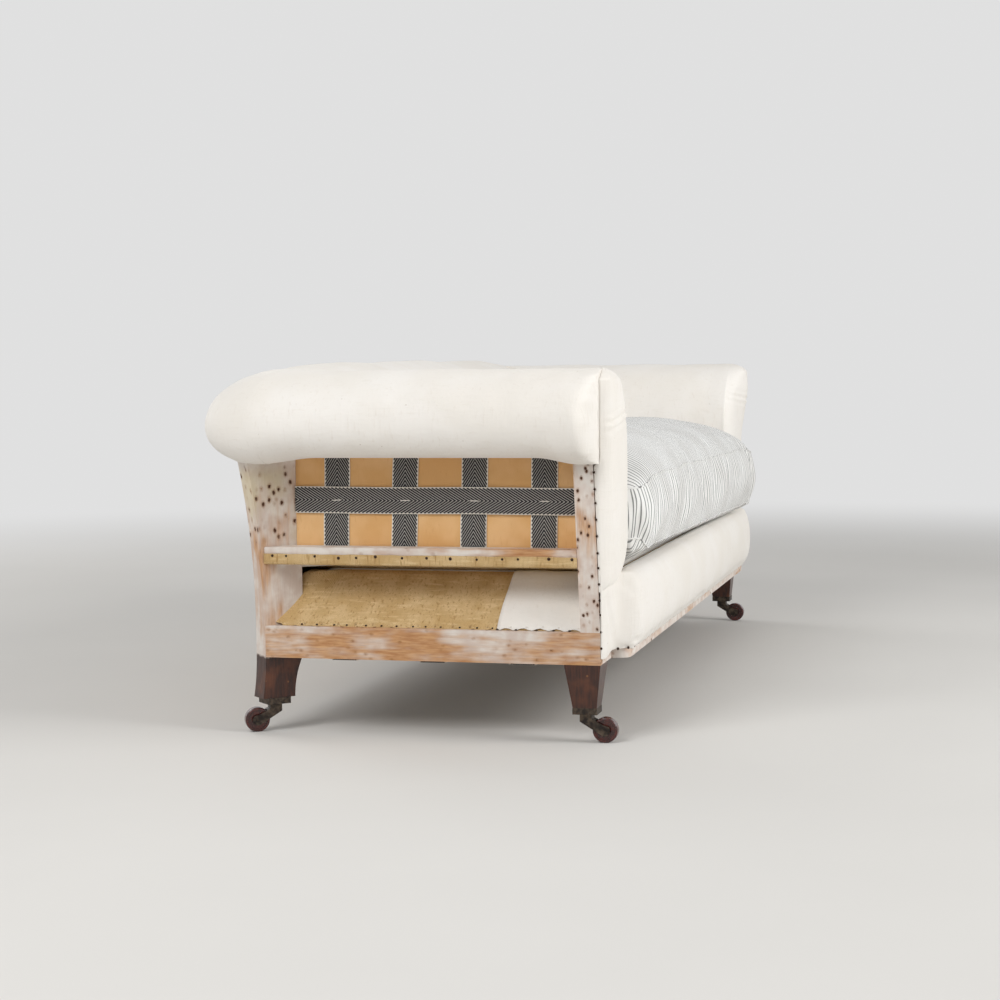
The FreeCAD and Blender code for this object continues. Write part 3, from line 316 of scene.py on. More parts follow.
wheel_brown = Finish("wheel_brown", Coat_Weight=0.35, Coat_Roughness=0.18)
wheel_cloud = wheel_brown.noise(0.01, 4)
wheel_tone = wheel_brown.mix(wheel_brown.step(wheel_cloud, 0.35, 0.7), dye(52, 15, 12), dye(84, 29, 21))
scuff = wheel_brown.step(wheel_brown.noise(0.0022, 5), 0.62, 0.74)
wheel_brown.colour(wheel_brown.mix(wheel_brown.calc("MULTIPLY", scuff, 0.5), wheel_tone, dye(124, 72, 58)))
wheel_brown.rough(wheel_brown.span(scuff, 0.22, 0.5))
wheel_brown.bump(wheel_cloud, 0.0004)
dress(wheel_brown.material, *[name.replace("horn", "wheel") for name in horns])


# Seat springs: waisted coils of steel wire, stood on the webbing and lashed under the hessian.
# The wire is dull with a little brown rust.
steel = Finish("spring_steel", Metallic=0.9)
steel_cloud = steel.noise(0.02, 4)
steel.colour(steel.mix(steel.step(steel_cloud, 0.5, 0.72), dye(132, 126, 118), dye(104, 68, 42)))
steel.rough(steel.span(steel_cloud, 0.35, 0.65))
steel.bump(steel.noise(0.002, 3), 0.0003)
dress(steel.material, "seat_springs")


# Webbing: two-inch herringbone tape in black and white with a white selvedge, stretched between
# the rails. A level band lies over the upright webs and is caught to each with a long stitch.
SIDES = ("left", "right", "back")
ENDS = (("left", -1), ("right", 1))
OUTSIDE = {
    "left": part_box("end_rail_left")[0].x, "right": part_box("end_rail_right")[1].x,
    "back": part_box("back_rail")[1].y}


def outside_point(side, along, into, up):
    """A point measured along a side of the frame, in from its outside, and up."""
    plane = OUTSIDE[side]
    if side == "back":
        return Vector((along, plane - into, up))
    return Vector((plane + into if side == "left" else plane - into, along, up))


def side_facts(side):
    """The axis along a side, the way out of it, and the rails that its cloth is tacked to."""
    outward = (outside_point(side, 0, 0, 0) - outside_point(side, 0, 1, 0)).normalized()
    if side == "back":
        return 0, outward, ["back_stuffing_rail", "back_top_rail"]
    return 1, outward, [f"arm_stuffing_rail_{side}", f"arm_top_rail_{side}"]


def panel(stem, side):
    """The node of a side's webbing or cloth."""
    return f"back_{stem}" if side == "back" else f"arm_{stem}_{side}"


def join_mesh(name, points, faces, material, cuts=None):
    """A new piece from points and faces. cuts gives each corner its place on the flat cloth."""
    mesh = bpy.data.meshes.new(name)
    mesh.from_pydata(points, [], faces)
    if cuts:
        layer = mesh.uv_layers.new(name="cloth")
        for loop in mesh.loops:
            layer.data[loop.index].uv = cuts[loop.vertex_index]
    mesh.materials.append(material)
    piece = bpy.data.objects.new(name, mesh)
    bpy.context.scene.collection.objects.link(piece)
    solid = bmesh.new()
    solid.from_mesh(mesh)
    bmesh.ops.recalc_face_normals(solid, faces=solid.faces)
    solid.to_mesh(mesh)
    solid.free()
    for polygon in mesh.polygons:
        polygon.use_smooth = True
    return piece


def rim_of(rows, columns):
    """The border of a grid, in order, as rows and columns."""
    rim = [(0, column) for column in range(columns)]
    rim += [(row, columns - 1) for row in range(1, rows)]
    rim += [(rows - 1, column) for column in range(columns - 2, -1, -1)]
    return rim + [(row, 0) for row in range(rows - 2, 0, -1)]


def lay(name, strips, thickness, material):
    """Sheets of cloth as one piece. A strip is a grid of points, a way out and its flat places."""
    points, faces, cuts = [], [], []
    for grid, outward, flat in strips:
        rows, columns = len(grid), len(grid[0])
        start, layer = len(points), rows * columns
        for lift in (0.0, thickness):
            points += [point + outward * lift for row in grid for point in row]
            cuts += [place for row in flat for place in row]

        def corner(row, column, top):
            return start + top * layer + row * columns + column

        for row in range(rows - 1):
            for column in range(columns - 1):
                square = ((row, column), (row, column + 1), (row + 1, column + 1), (row + 1, column))
                faces.append([corner(r, c, 1) for r, c in square])
                faces.append([corner(r, c, 0) for r, c in reversed(square)])
        rim = rim_of(rows, columns)
        for one, other in zip(rim, rim[1:] + rim[:1]):
            faces.append([corner(*one, 0), corner(*other, 0), corner(*other, 1), corner(*one, 1)])
    return join_mesh(name, points, faces, material, cuts)


def steps(start, end, size):
    """Evenly spaced numbers from start to end, about size apart."""
    count = max(1, round(abs(end - start) / size))
    return [start + (end - start) * number / count for number in range(count + 1)]


WEB_WIDTH = 0.054
WEB_THICK = 0.0013
SEAT_WEB_THICK = 0.0012
HERRINGBONE_PITCH = 0.0081
HERRINGBONE_SLOPE = 1.6
SELVEDGE = 0.0246
herringbone = Finish("herringbone_webbing")
web_across, web_along, _ = herringbone.axes(herringbone.cut)
chevron = herringbone.calc("ABSOLUTE", web_across)
thread = herringbone.calc("ADD", web_along, herringbone.calc("MULTIPLY", chevron, HERRINGBONE_SLOPE))
thread = herringbone.calc("FRACT", herringbone.calc("DIVIDE", thread, HERRINGBONE_PITCH))
thread = herringbone.calc("ABSOLUTE", herringbone.calc("SUBTRACT", thread, 0.5))
white_thread = herringbone.step(thread, 0.35, 0.44)
yarn = herringbone.noise(0.002, 3)
black_cotton = herringbone.mix(yarn, dye(24, 24, 27), dye(46, 46, 48))
white_cotton = herringbone.mix(yarn, dye(176, 174, 168), dye(210, 207, 199))
weave_tone = herringbone.mix(white_thread, black_cotton, white_cotton)
scallop = herringbone.calc("SINE", herringbone.calc("MULTIPLY", web_along, math.tau / HERRINGBONE_PITCH))
edge_line = herringbone.calc("ADD", chevron, herringbone.calc("MULTIPLY", scallop, 0.0011))
selvedge = herringbone.step(edge_line, SELVEDGE - 0.0003, SELVEDGE + 0.0003)
herringbone.colour(herringbone.mix(selvedge, weave_tone, dye(232, 228, 219)))
herringbone.rough(herringbone.span(yarn, 0.8, 0.95))
herringbone.bump(herringbone.calc("SUBTRACT", 0.5, thread), 0.0003)
herringbone.bump(yarn, 0.0002)


def web(begin, end, across, outward, wander, seed):
    """One web from begin to end, wavering a little, as a strip for lay()."""
    run = end - begin
    grid, flat = [], []
    for along in steps(0.0, run.length, 0.012):
        share = along / run.length
        sway = wander * noise.noise((share * 3.0, seed, 0.3))
        puff_out = 0.0006 * (1 + noise.noise((share * 9.0, seed, 4.1)))
        row = []
        for place in steps(-WEB_WIDTH / 2, WEB_WIDTH / 2, 0.01):
            row.append(begin + run * share + across * (place + sway) + outward * puff_out)
        grid.append(row)
        flat.append([(place, along) for place in steps(-WEB_WIDTH / 2, WEB_WIDTH / 2, 0.01)])
    return grid, outward, flat


def web_centres(node, axis):
    """The middles of a node's upright webs, read from where its points stand off the band."""
    low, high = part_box(node)
    levels = sorted({round(v.co[axis], 4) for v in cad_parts[node].data.vertices
                     if v.co.z > high.z - 0.001 or v.co.z < low.z + 0.001})
    return [(one + other) / 2 for one, other in zip(levels[::2], levels[1::2])]


BAND_DEPTH = 0.0475
BAND_LEVEL = 0.471
WEB_DEPTH = BAND_DEPTH + 0.0032
STITCH_DEPTH = BAND_DEPTH - 0.0024
WEB_WANDER = 0.002
WEB_LEAN = 0.004
UP = Vector((0, 0, 1))
stitches = []
for side in SIDES:
    node = panel("webbing", side)
    low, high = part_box(node)
    axis, outward, rails = side_facts(side)
    run = Vector((1, 0, 0)) if side == "back" else Vector((0, 1, 0))
    centres = web_centres(node, axis)
    strips = [web(
        outside_point(side, high[axis], BAND_DEPTH, BAND_LEVEL),
        outside_point(side, low[axis], BAND_DEPTH, BAND_LEVEL), UP, outward, WEB_WANDER, 1.7)]
    for number, centre in enumerate(centres):
        lean = WEB_WANDER * noise.noise((number * 2.3, axis, 7.7)) + (WEB_LEAN if axis else 0.0)
        strips.append(web(
            outside_point(side, centre + lean, WEB_DEPTH, low.z),
            outside_point(side, centre - lean / 2, WEB_DEPTH, high.z),
            run, outward, WEB_WANDER, number + 2.9))
        stitches.append((outside_point(side, centre, STITCH_DEPTH, BAND_LEVEL), run, outward))
    webbing = lay(f"webbing_{side}", strips, WEB_THICK, herringbone.material)
    belongs(webbing, "webbing", node)


# Stitches: one long stitch of white twine at each crossing of the webs, pulled flat.
# They are drawn as short flattened cords with tapered ends.
twine = Finish("white_twine", Roughness=0.9)
twine_lay = twine.noise(0.0015, 3)
twine.colour(twine.mix(twine_lay, dye(206, 202, 194), dye(238, 235, 228)))
twine.bump(twine_lay, 0.0003)
STITCH = 0.021
STITCH_GIRTH = 0.0009


def hoops(faces, start, rings, around, closed=False):
    """Faces between rings of around points each, which join up where closed."""
    for ring in range(rings if closed else rings - 1):
        here, there = start + ring * around, start + (ring + 1) % rings * around
        for turn in range(around):
            ahead = (turn + 1) % around
            faces.append((here + turn, here + ahead, there + ahead, there + turn))


stitch_points, stitch_faces = [], []
for number, (spot, run, outward) in enumerate(stitches):
    tilt = 0.0022 * noise.noise((number * 3.1, 0.4, 0.9))
    start = len(stitch_points)
    places = steps(-STITCH / 2, STITCH / 2, STITCH / 8)
    for place in places:
        share = 2 * place / STITCH
        girth = STITCH_GIRTH * math.sqrt(max(0.06, 1 - share ** 4))
        middle = spot + run * place + UP * tilt * share
        for turn in range(8):
            angle = math.tau * turn / 8
            stitch_points.append(
                middle + UP * girth * math.cos(angle) + outward * girth * 0.6 * math.sin(angle))
    hoops(stitch_faces, start, len(places), 8)
    stitch_faces.append(tuple(start + turn for turn in range(8)))
    stitch_faces.append(tuple(start + (len(places) - 1) * 8 + turn for turn in range(8)))
web_stitches = join_mesh("web_stitches", stitch_points, stitch_faces, twine.material)
belongs(web_stitches, "webbing")


# Tan cloth: a plain cotton lining behind the webs, tacked to the rails before the stuffing went
# on, so the stuffing swells it a little between the webs.
tan = Finish("tan_cloth", Roughness=0.92, Sheen_Weight=0.08)
tan_weave = tan.noise(0.0016, 2)
tan_fade = tan.noise(0.09, 3)
tan_tone = tan.mix(tan.step(tan_fade, 0.35, 0.68), dye(220, 170, 110), dye(232, 188, 134))
tan_slub = tan.noise(0.004, 3, (1, 1, 5))
tan.colour(tan.mix(tan.calc("MULTIPLY", tan.step(tan_slub, 0.58, 0.8), 0.4), tan_tone, dye(206, 150, 90)))
tan.bump(tan_weave, 0.0004)
tan.bump(tan_slub, 0.0002)
LINING_DEPTH = 0.0519
LINING_STEP = 0.012
LINING_THICK = 0.0008
for side in SIDES:
    node = panel("cloth", side)
    low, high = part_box(node)
    axis, outward, rails = side_facts(side)
    grid, flat = [], []
    for up in steps(low.z, high.z, LINING_STEP):
        row = []
        for along in steps(low[axis], high[axis], LINING_STEP):
            swell = 0.0018 * noise.noise((along * 14, up * 14, 2.2))
            row.append(outside_point(side, along, LINING_DEPTH - abs(swell) * 0.3, up))
        grid.append(row)
        flat.append([(along, up) for along in steps(low[axis], high[axis], LINING_STEP)])
    lining = lay(f"tan_cloth_{side}", [(grid, outward, flat)], LINING_THICK, tan.material)
    belongs(lining, "tan_cloth", node)


# Hessian: open jute cloth. One piece is drawn over the springs and tacked to the rails, and
# strips of it are folded round the lower edges of the stuffing rails.
jute = Finish("hessian", Roughness=0.95)
jute_x, jute_y, jute_z = jute.axes(jute.place)
JUTE_PITCH = 0.0026
jute_warp = jute.noise(0.02, 2)
flat_run = jute.calc("ADD", jute_x, jute_y)
flat_run = jute.calc("ADD", flat_run, jute.calc("MULTIPLY", jute_warp, 0.002))
rise_run = jute.calc("ADD", jute.calc("MULTIPLY", jute_z, 1.4), jute.calc("MULTIPLY", jute_warp, 0.003))
warp = jute.calc("SINE", jute.calc("MULTIPLY", flat_run, math.tau / JUTE_PITCH))
weft = jute.calc("SINE", jute.calc("MULTIPLY", rise_run, math.tau / JUTE_PITCH))
lattice = jute.calc("MAXIMUM", warp, weft)
slub = jute.noise(0.0045, 4, (6, 9, 1))
cross_slub = jute.noise(0.0045, 4, (1, 1, 7))
straw = jute.mix(jute.step(jute.noise(0.05, 3), 0.35, 0.66), dye(206, 172, 118), dye(224, 194, 144))
straw = jute.mix(jute.calc("MULTIPLY", jute.step(slub, 0.5, 0.72), 0.55), straw, dye(242, 216, 168))
straw = jute.mix(jute.step(cross_slub, 0.46, 0.3), straw, dye(186, 148, 94))
# The gaps between the threads are painted darker: this is painted shade in the open weave.
jute.colour(jute.mix(jute.step(lattice, -0.1, -0.8), straw, dye(158, 120, 72)))
jute.bump(lattice, 0.0003)
jute.bump(slub, 0.0003)

HESSIAN_THICK = 0.0011
COVER_THICK = 0.0012
COVER_STEP = 0.012
hessian_low, hessian_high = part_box("spring_hessian")
SEAT_TOP = hessian_low.z
SLOPE_RUN = 0.11
SLOPE_RISE = hessian_high.z - SEAT_TOP
EDGE_ROLL = 0.011
CORNER_LIFT = 0.035
CORNER_SPOT = 0.09
CORNER_SPREAD = 0.04
CORNER_DRAW = 0.03
CORNER_RUN = 0.06
hessian_x = steps(hessian_low.x, hessian_high.x, COVER_STEP)
hessian_y = steps(hessian_low.y, hessian_high.y, COVER_STEP)
POST_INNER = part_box("front_post_left")[1].x


def hessian_height(x, y):
    """Level over the springs, and sloping to the rails at the two ends and the back.

    At the rear corners the cloth is drawn up against the posts."""
    from_end = min(x - hessian_low.x, hessian_high.x - x)
    from_back = hessian_high.y - y
    near_post = ((from_end - CORNER_SPOT) ** 2 + (from_back - CORNER_SPOT) ** 2) / CORNER_SPREAD ** 2
    inside = min(from_end, from_back) + CORNER_LIFT * math.exp(-near_post)
    share = min(1.0, max(0.0, inside / SLOPE_RUN))
    pillow = 0.006 * math.sin(math.pi * share) * (1 + 0.6 * noise.noise((x * 9, y * 9, 1.1)))
    pillow += EDGE_ROLL * math.exp(-((inside - SLOPE_RUN + 0.008) / 0.024) ** 2)
    tuft = 0.0022 * math.exp(-inside / 0.012) * math.sin((x + y) * math.tau / 0.034)
    return SEAT_TOP + SLOPE_RISE * share + pillow + tuft


def clear_of_post(x, y):
    """Draw a point near a rear corner in, so that the cloth ends inside the corner post."""
    from_corner = min(x - hessian_low.x, hessian_high.x - x) + hessian_high.y - y
    shift = CORNER_DRAW / 2 * max(0.0, 1 - from_corner / CORNER_RUN)
    x, y = x - math.copysign(shift, x), y - shift
    return Vector((x, y, hessian_height(x, y)))


grid = [[clear_of_post(x, y) for x in hessian_x] for y in hessian_y]
flat = [[(x, y) for x in hessian_x] for y in hessian_y]
spring_cover = lay("spring_hessian_cover", [(grid, -UP, flat)], COVER_THICK, jute.material)
trim = bmesh.new()
trim.from_mesh(spring_cover.data)
behind_posts = [vert for vert in trim.verts
                if abs(vert.co.x) > 0.006 - POST_INNER and vert.co.y < POST_BACK_LOW - 0.009]
for vert in behind_posts:
    trim.verts.remove(vert)
bmesh.ops.holes_fill(trim, edges=trim.edges, sides=4)
trim.to_mesh(spring_cover.data)
trim.free()
belongs(spring_cover, "hessian", "spring_hessian")

STRIP_PATH = [(0.014, -0.0016), (0.007, -0.0018), (0.001, -0.0012), (-0.0012, 0.003), (-0.0014, 0.011),
              (-0.0016, 0.0185), (-0.0022, 0.0205)]
STRIP_STEP = 0.008
for side in SIDES:
    low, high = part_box(f"rail_hessian_{side}")
    axis, outward, rails = side_facts(side)
    near, far = (low.x, high.x) if side == "back" else (post_back(low.z) + 0.0006, high.y)
    grid, flat = [], []
    for number, (into, up) in enumerate(STRIP_PATH):
        row = []
        for along in steps(near, far, STRIP_STEP):
            wave = 0.0012 * noise.noise((along * 40, side == "back", 0.7)) if up > 0.015 else 0.0
            row.append(outside_point(side, along, into, low.z + up + wave))
        grid.append(row)
        flat.append([(along, number * 0.007) for along in steps(near, far, STRIP_STEP)])
    strip = lay(f"hessian_strip_{side}", [(grid, outward, flat)], HESSIAN_THICK, jute.material)
    belongs(strip, "hessian", f"rail_hessian_{side}")


# Calico: unbleached cotton with neps and slubs, drawn tight over the stuffing. The returns are
# the pieces of it that cover the front of the hessian inside each open end.
calico = Finish("calico", Roughness=0.9, Sheen_Weight=0.12, Sheen_Roughness=0.5)
calico_fade = calico.noise(0.16, 3)
calico_slub = calico.noise(0.006, 4, (1, 1, 7))
calico_cross = calico.noise(0.006, 4, (6, 6, 1))
cream = calico.mix(calico.step(calico_fade, 0.36, 0.66), dye(236, 231, 223), dye(240, 236, 230))
slub_share = calico.calc("MULTIPLY", calico.step(calico_slub, 0.56, 0.8), 0.45)
cream = calico.mix(slub_share, cream, dye(224, 216, 205))
cross_share = calico.calc("MULTIPLY", calico.step(calico_cross, 0.58, 0.8), 0.35)
cream = calico.mix(cross_share, cream, dye(227, 220, 210))
nep, nep_pick = calico.spots(0.03)
neps = calico.calc("MULTIPLY", calico.step(nep, 0.045, 0.025), calico.step(nep_pick, 0.55, 0.58))
calico.colour(calico.mix(calico.calc("MULTIPLY", neps, 0.55), cream, dye(142, 112, 74)))
calico.bump(calico.noise(0.0012, 2), 0.0003)
calico.bump(calico_slub, 0.0006)
calico.bump(calico_cross, 0.0005)

FOLD_EDGE = 0.0085
FOLD_TOP = 0.13
FOLD_STEPS = 22
FOLD_THICK = 0.0009
for side in ("left", "right"):
    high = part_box(f"calico_return_{side}")[1]
    front_edge = POST_BACK_LOW - 0.006
    grid, flat = [], []
    for into in steps(FOLD_EDGE, FOLD_TOP, 0.0075):
        share = (into - FOLD_EDGE) / (FOLD_TOP - FOLD_EDGE)
        rear = high.y - 0.015 * share ** 1.6
        row = []
        for number in range(FOLD_STEPS + 1):
            point = outside_point(side, front_edge + (rear - front_edge) * number / FOLD_STEPS, into, 0.0)
            swell = 0.0022 + 0.002 * math.sin(math.pi * share)
            swell += 0.001 * noise.noise((point.y * 20, share * 3, 5.5))
            point.z = hessian_height(point.x, point.y) + swell
            row.append(point)
        grid.append(row)
        flat.append([(number / FOLD_STEPS, share) for number in range(FOLD_STEPS + 1)])
    fold = lay(f"calico_fold_{side}", [(grid, UP, flat)], FOLD_THICK, calico.material)
    belongs(fold, "calico", f"calico_return_{side}")


# Flies: hessian sewn to the bottom of the arm and back covers. At the arms they lie under the
# pad, and at the back they hang to the seat, which closes the gap under the stuffing rails.
FLY_PATHS = {
    "arm": [(0.0495, 0.003), (0.06, 0.0012), (0.08, -0.0032), (0.1, -0.0075), (0.118, -0.0125),
            (0.127, -0.019)],
    "back": [(0.0505, 0.0), (0.052, -0.022), (0.054, -0.045), (0.057, -0.066), (0.06, -0.088)]}
FLY_STEP = 0.015
BACK_FLY_HALF = 0.94
ARM_FLY_REAR = 0.3
for side in SIDES:
    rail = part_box("back_stuffing_rail" if side == "back" else f"arm_rail_{side}")
    outward = side_facts("back")[1] if side == "back" else -UP
    profile = FLY_PATHS["back" if side == "back" else "arm"]
    near, far = (-BACK_FLY_HALF, BACK_FLY_HALF)
    if side != "back":
        near, far = POST_BACK_LOW + 0.008, ARM_FLY_REAR
    grid, flat = [], []
    for number, (into, up) in enumerate(profile):
        row = []
        for along in steps(near, far, FLY_STEP):
            sway = 0.001 * noise.noise((along * 16, number, 6.0))
            row.append(outside_point(side, along, into + sway, rail[0].z + up))
        grid.append(row)
        flat.append([(along, number * 0.02) for along in steps(near, far, FLY_STEP)])
    fly = lay(f"fly_{side}", [(grid, outward, flat)], HESSIAN_THICK, jute.material)
    belongs(fly, "hessian")


# Seat webbing: the same tape under the rails, crossed beneath each spring and tacked to the
# undersides of the seat frame.
strips = []
low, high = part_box("seat_webbing")
spring_low, spring_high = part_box("seat_springs")
SPRING_REACH = 0.042
CROSSWAYS_PITCH, LENGTHWAYS_PITCH = 0.21, 0.185
upper_level = high.z - 0.0016


def seat_web(begin, end, across, seed):
    """A web under the seat, which sags below its line."""
    grid, _, flat = web(begin, end, across, -UP, WEB_WANDER, seed)
    strips.append((grid, UP, flat))


crossways = steps(spring_low.x + SPRING_REACH, spring_high.x - SPRING_REACH, CROSSWAYS_PITCH)
lengthways = steps(spring_low.y + SPRING_REACH, spring_high.y - SPRING_REACH, LENGTHWAYS_PITCH)
for number, x in enumerate(crossways):
    seat_web(Vector((x, low.y, upper_level)), Vector((x, high.y, upper_level)),
             Vector((1, 0, 0)), number + 20.3)
for number, y in enumerate(lengthways):
    seat_web(Vector((low.x, y, low.z)), Vector((high.x, y, low.z)), Vector((0, 1, 0)), number + 40.3)
seat_webs = lay("seat_webs", strips, SEAT_WEB_THICK, herringbone.material)
belongs(seat_webs, "webbing", "seat_webbing")


# Seat deck: the stuffing over the springs under a calico cover, which the loose cushion hides.
# It is pulled down to the sides, so it is a low pillow with rounded edges.
def ease(share):
    """A rounded edge: 0 at the edge and 1 from a full radius inwards."""
    share = min(1.0, max(0.0, share))
    return math.sqrt(1 - (1 - share) ** 2)


def ruffle(piece, size, depth, seed=0.0):
    """Push points in and out along their normals by smooth noise of that size."""
    still = piece.data.attributes.get("held")
    ways = [vert.normal.copy() for vert in piece.data.vertices]
    for vert, way in zip(piece.data.vertices, ways):
        free = 1.0 - still.data[vert.index].value if still else 1.0
        vert.co += way * noise.noise(vert.co / size + Vector((seed, 0, 0))) * depth * free


low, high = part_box("seat_stuffing")
low.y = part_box("front_border")[1].y + 0.0006
DECK_EDGE = 0.014
DECK_STEP = 0.016
points, faces = [], []
deck_x = steps(low.x, high.x, DECK_STEP)
deck_y = steps(low.y, high.y, DECK_STEP)
for top in (True, False):
    for y in deck_y:
        for x in deck_x:
            inside = min(x - low.x, high.x - x, y - low.y, high.y - y)
            rise = ease(inside / DECK_EDGE) if top else 0.0
            points.append(Vector((x, y, low.z + (high.z - low.z) * (0.35 + 0.65 * rise) if top else low.z)))
grid_size = len(deck_x) * len(deck_y)
for row in range(len(deck_y) - 1):
    for column in range(len(deck_x) - 1):
        base = row * len(deck_x) + column
        square = (base, base + 1, base + 1 + len(deck_x), base + len(deck_x))
        faces.append(square)
        faces.append(tuple(grid_size + index for index in reversed(square)))
rim = [row * len(deck_x) + column for row, column in rim_of(len(deck_y), len(deck_x))]
for one, other in zip(rim, rim[1:] + rim[:1]):
    faces.append((one, other, grid_size + other, grid_size + one))
deck = join_mesh("seat_deck", points, faces, calico.material)
belongs(deck, "calico", "seat_stuffing")


# Arms and back: hair stuffing under calico, with a fat roll that turns over the top rails. The
# calico is tacked under the roll and drawn down inside to the seat.
END = OUTSIDE["right"]
BACK = OUTSIDE["back"]
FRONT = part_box("end_rail_left")[0].y
ROLL_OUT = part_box("arm_pad_right")[1].x - END
ROLL_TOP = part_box("arm_pad_left")[1].z
ROLL_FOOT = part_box("arm_top_rail_left")[0].z - 0.014
PAD_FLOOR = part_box("arm_pad_left")[0].z
CROWN_IN = 0.0525
NOSE = 0.618
SHOULDER = 0.56
ARM_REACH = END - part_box("arm_pad_right")[0].x
BACK_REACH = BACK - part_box("back_pad")[0].y
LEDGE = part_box("back_top_rail")[1].z
TUCK = 0.012
PAD_RISE = 0.02
ROLL_ROUND = 0.036


def section(reach, limit, out_share, arch, crown_lift):
    """A ring of (out, up) points round an arm or the back, and which of them are held.

    limit cuts the inside off at a mitre, out_share draws the roll in at its front end, and arch
    lifts the underside of the roll between its ends."""
    ring, held = [], []
    under = ROLL_FOOT + 0.0006 + arch
    throat = ROLL_OUT - 0.07

    def add(out, up, pinned):
        ring.append((out * out_share if out > 0 else out, up))
        held.append(pinned)

    add(0.0006, under, True)
    add(throat * 0.6, under, True)
    for turn in range(11):
        angle = math.pi / 2 * turn / 10
        add(throat + 0.07 * math.sin(angle), NOSE - (NOSE - under) * math.cos(angle), turn < 2)
    for turn in range(1, 19):
        angle = math.pi / 2 * turn / 18
        up = NOSE + (ROLL_TOP + crown_lift - NOSE) * math.sin(angle)
        add(-CROWN_IN + (ROLL_OUT + CROWN_IN) * math.cos(angle), up, False)
    most = math.asin(min(1.0, max(0.0, (limit - CROWN_IN) / (reach - CROWN_IN))))
    drop = ROLL_TOP + crown_lift - SHOULDER
    for turn in range(1, 21):
        angle = most * turn / 20
        add(-CROWN_IN - (reach - CROWN_IN) * math.sin(angle), SHOULDER + drop * math.cos(angle), False)
    shoulder_out, shoulder_up = ring[-1]
    for turn in range(1, 21):
        share = turn / 20
        up = shoulder_up + (PAD_FLOOR - shoulder_up) * share
        tuck = TUCK * share ** 2 if limit >= reach else 0.0
        add(min(shoulder_out + tuck, -CROWN_IN), up, share > 0.9)
    foot_out = ring[-1][0]
    for share in (0.25, 0.5, 0.75, 1.0):
        add(foot_out + (-CROWN_IN - foot_out) * share, PAD_FLOOR + PAD_RISE * share ** 2, True)
    for turn in range(1, 13):
        add(-CROWN_IN, PAD_FLOOR + (LEDGE - PAD_FLOOR) * turn / 12, True)
    add(-CROWN_IN / 2, LEDGE + 0.0006, True)
    add(0.0006, LEDGE + 0.0006, True)
    return ring, held


def stuffed(name, rings, held):
    """A closed skin over rings of points. How far each point is held is kept as an attribute."""
    count = len(rings[0])
    solid = bmesh.new()
    pin = solid.verts.layers.float.new("held")
    loops = []
    for ring, fixed in zip(rings, held):
        loop = [solid.verts.new(point) for point in ring]
        for vert, still in zip(loop, fixed):
            vert[pin] = float(still)
        loops.append(loop)
    for near, far in zip(loops, loops[1:]):
        for number in range(count):
            following = (number + 1) % count
            solid.faces.new((near[number], near[following], far[following], far[number]))
    caps = [solid.faces.new(loops[0]), solid.faces.new(list(reversed(loops[-1])))]
    crease = solid.edges.layers.float.new("crease_edge")
    for edge in [edge for cap in caps for edge in cap.edges]:
        edge[crease] = 1.0
        edge.smooth = False
    bmesh.ops.triangulate(solid, faces=caps)
    bmesh.ops.remove_doubles(solid, verts=solid.verts, dist=0.0004)
    bmesh.ops.dissolve_degenerate(solid, edges=solid.edges, dist=0.0002)
    bmesh.ops.recalc_face_normals(solid, faces=solid.faces)
    mesh = bpy.data.meshes.new(name)
    solid.to_mesh(mesh)
    solid.free()
    for polygon in mesh.polygons:
        polygon.use_smooth = True
    piece = bpy.data.objects.new(name, mesh)
    bpy.context.scene.collection.objects.link(piece)
    return piece


def puff(piece, cap, pressure=4.0, slack=0.0, frames=20):
    """Blow a cloth skin up, as stuffing does, with its held points still. cap limits the swell."""
    rest = [vert.co.copy() for vert in piece.data.vertices]
    still = [value.value for value in piece.data.attributes["held"].data]
    group = piece.vertex_groups.new(name="held")
    group.add([index for index, value in enumerate(still) if value > 0.98], 1.0, "REPLACE")
    cloth = piece.modifiers.new("stuffing", "CLOTH")
    settings = cloth.settings
    settings.quality = 4
    settings.mass = 0.3
    settings.tension_stiffness = 18
    settings.compression_stiffness = 18
    settings.shear_stiffness = 8
    settings.bending_stiffness = 1.2
    settings.use_pressure = True
    settings.uniform_pressure_force = pressure
    settings.shrink_min = -slack
    settings.vertex_group_mass = group.name
    settings.effector_weights.gravity = 0
    cloth.collision_settings.use_collision = False
    scene = bpy.context.scene
    cloth.point_cache.frame_start = 1
    cloth.point_cache.frame_end = frames
    for number in range(1, frames + 1):
        scene.frame_set(number)
    solved = piece.evaluated_get(bpy.context.evaluated_depsgraph_get()).to_mesh()
    swell = [vert.co - start for vert, start in zip(solved.vertices, rest)]
    piece.modifiers.remove(cloth)
    piece.vertex_groups.remove(group)
    for vert, start, move, hold in zip(piece.data.vertices, rest, swell, still):
        if move.length > cap:
            move = move * (cap / move.length)
        vert.co = start + move * (1 - hold)
    scene.frame_set(1)


def soften(piece, material, body, slot_name, fill, *nodes):
    """Finish a stuffed piece: one subdivision, its cloth, and what it stands for."""
    piece.data.materials.append(material)
    smooth = piece.modifiers.new("smooth", "SUBSURF")
    smooth.levels = 1
    smooth.render_levels = 1
    belongs(piece, slot_name, *nodes, body=body)


CORNER_Y = BACK - CROWN_IN
CORNER_X = END - CROWN_IN
MITRE = (ARM_REACH - CROWN_IN) / (BACK_REACH - CROWN_IN)
ROLL_STEP = 0.009
UNDER_ARCH = 0.0125
NOSE_SWELL = 0.2


def blend_in(value, low, high):
    """A smooth rise from 0 at low to 1 at high."""
    share = min(1.0, max(0.0, (value - low) / (high - low)))
    return share * share * (3 - 2 * share)


def roll_arch(near, far):
    """The underside of the roll is tacked lower at the posts than between them."""
    return UNDER_ARCH * min(blend_in(near, 0.035, 0.12), blend_in(far, -0.02, 0.1))


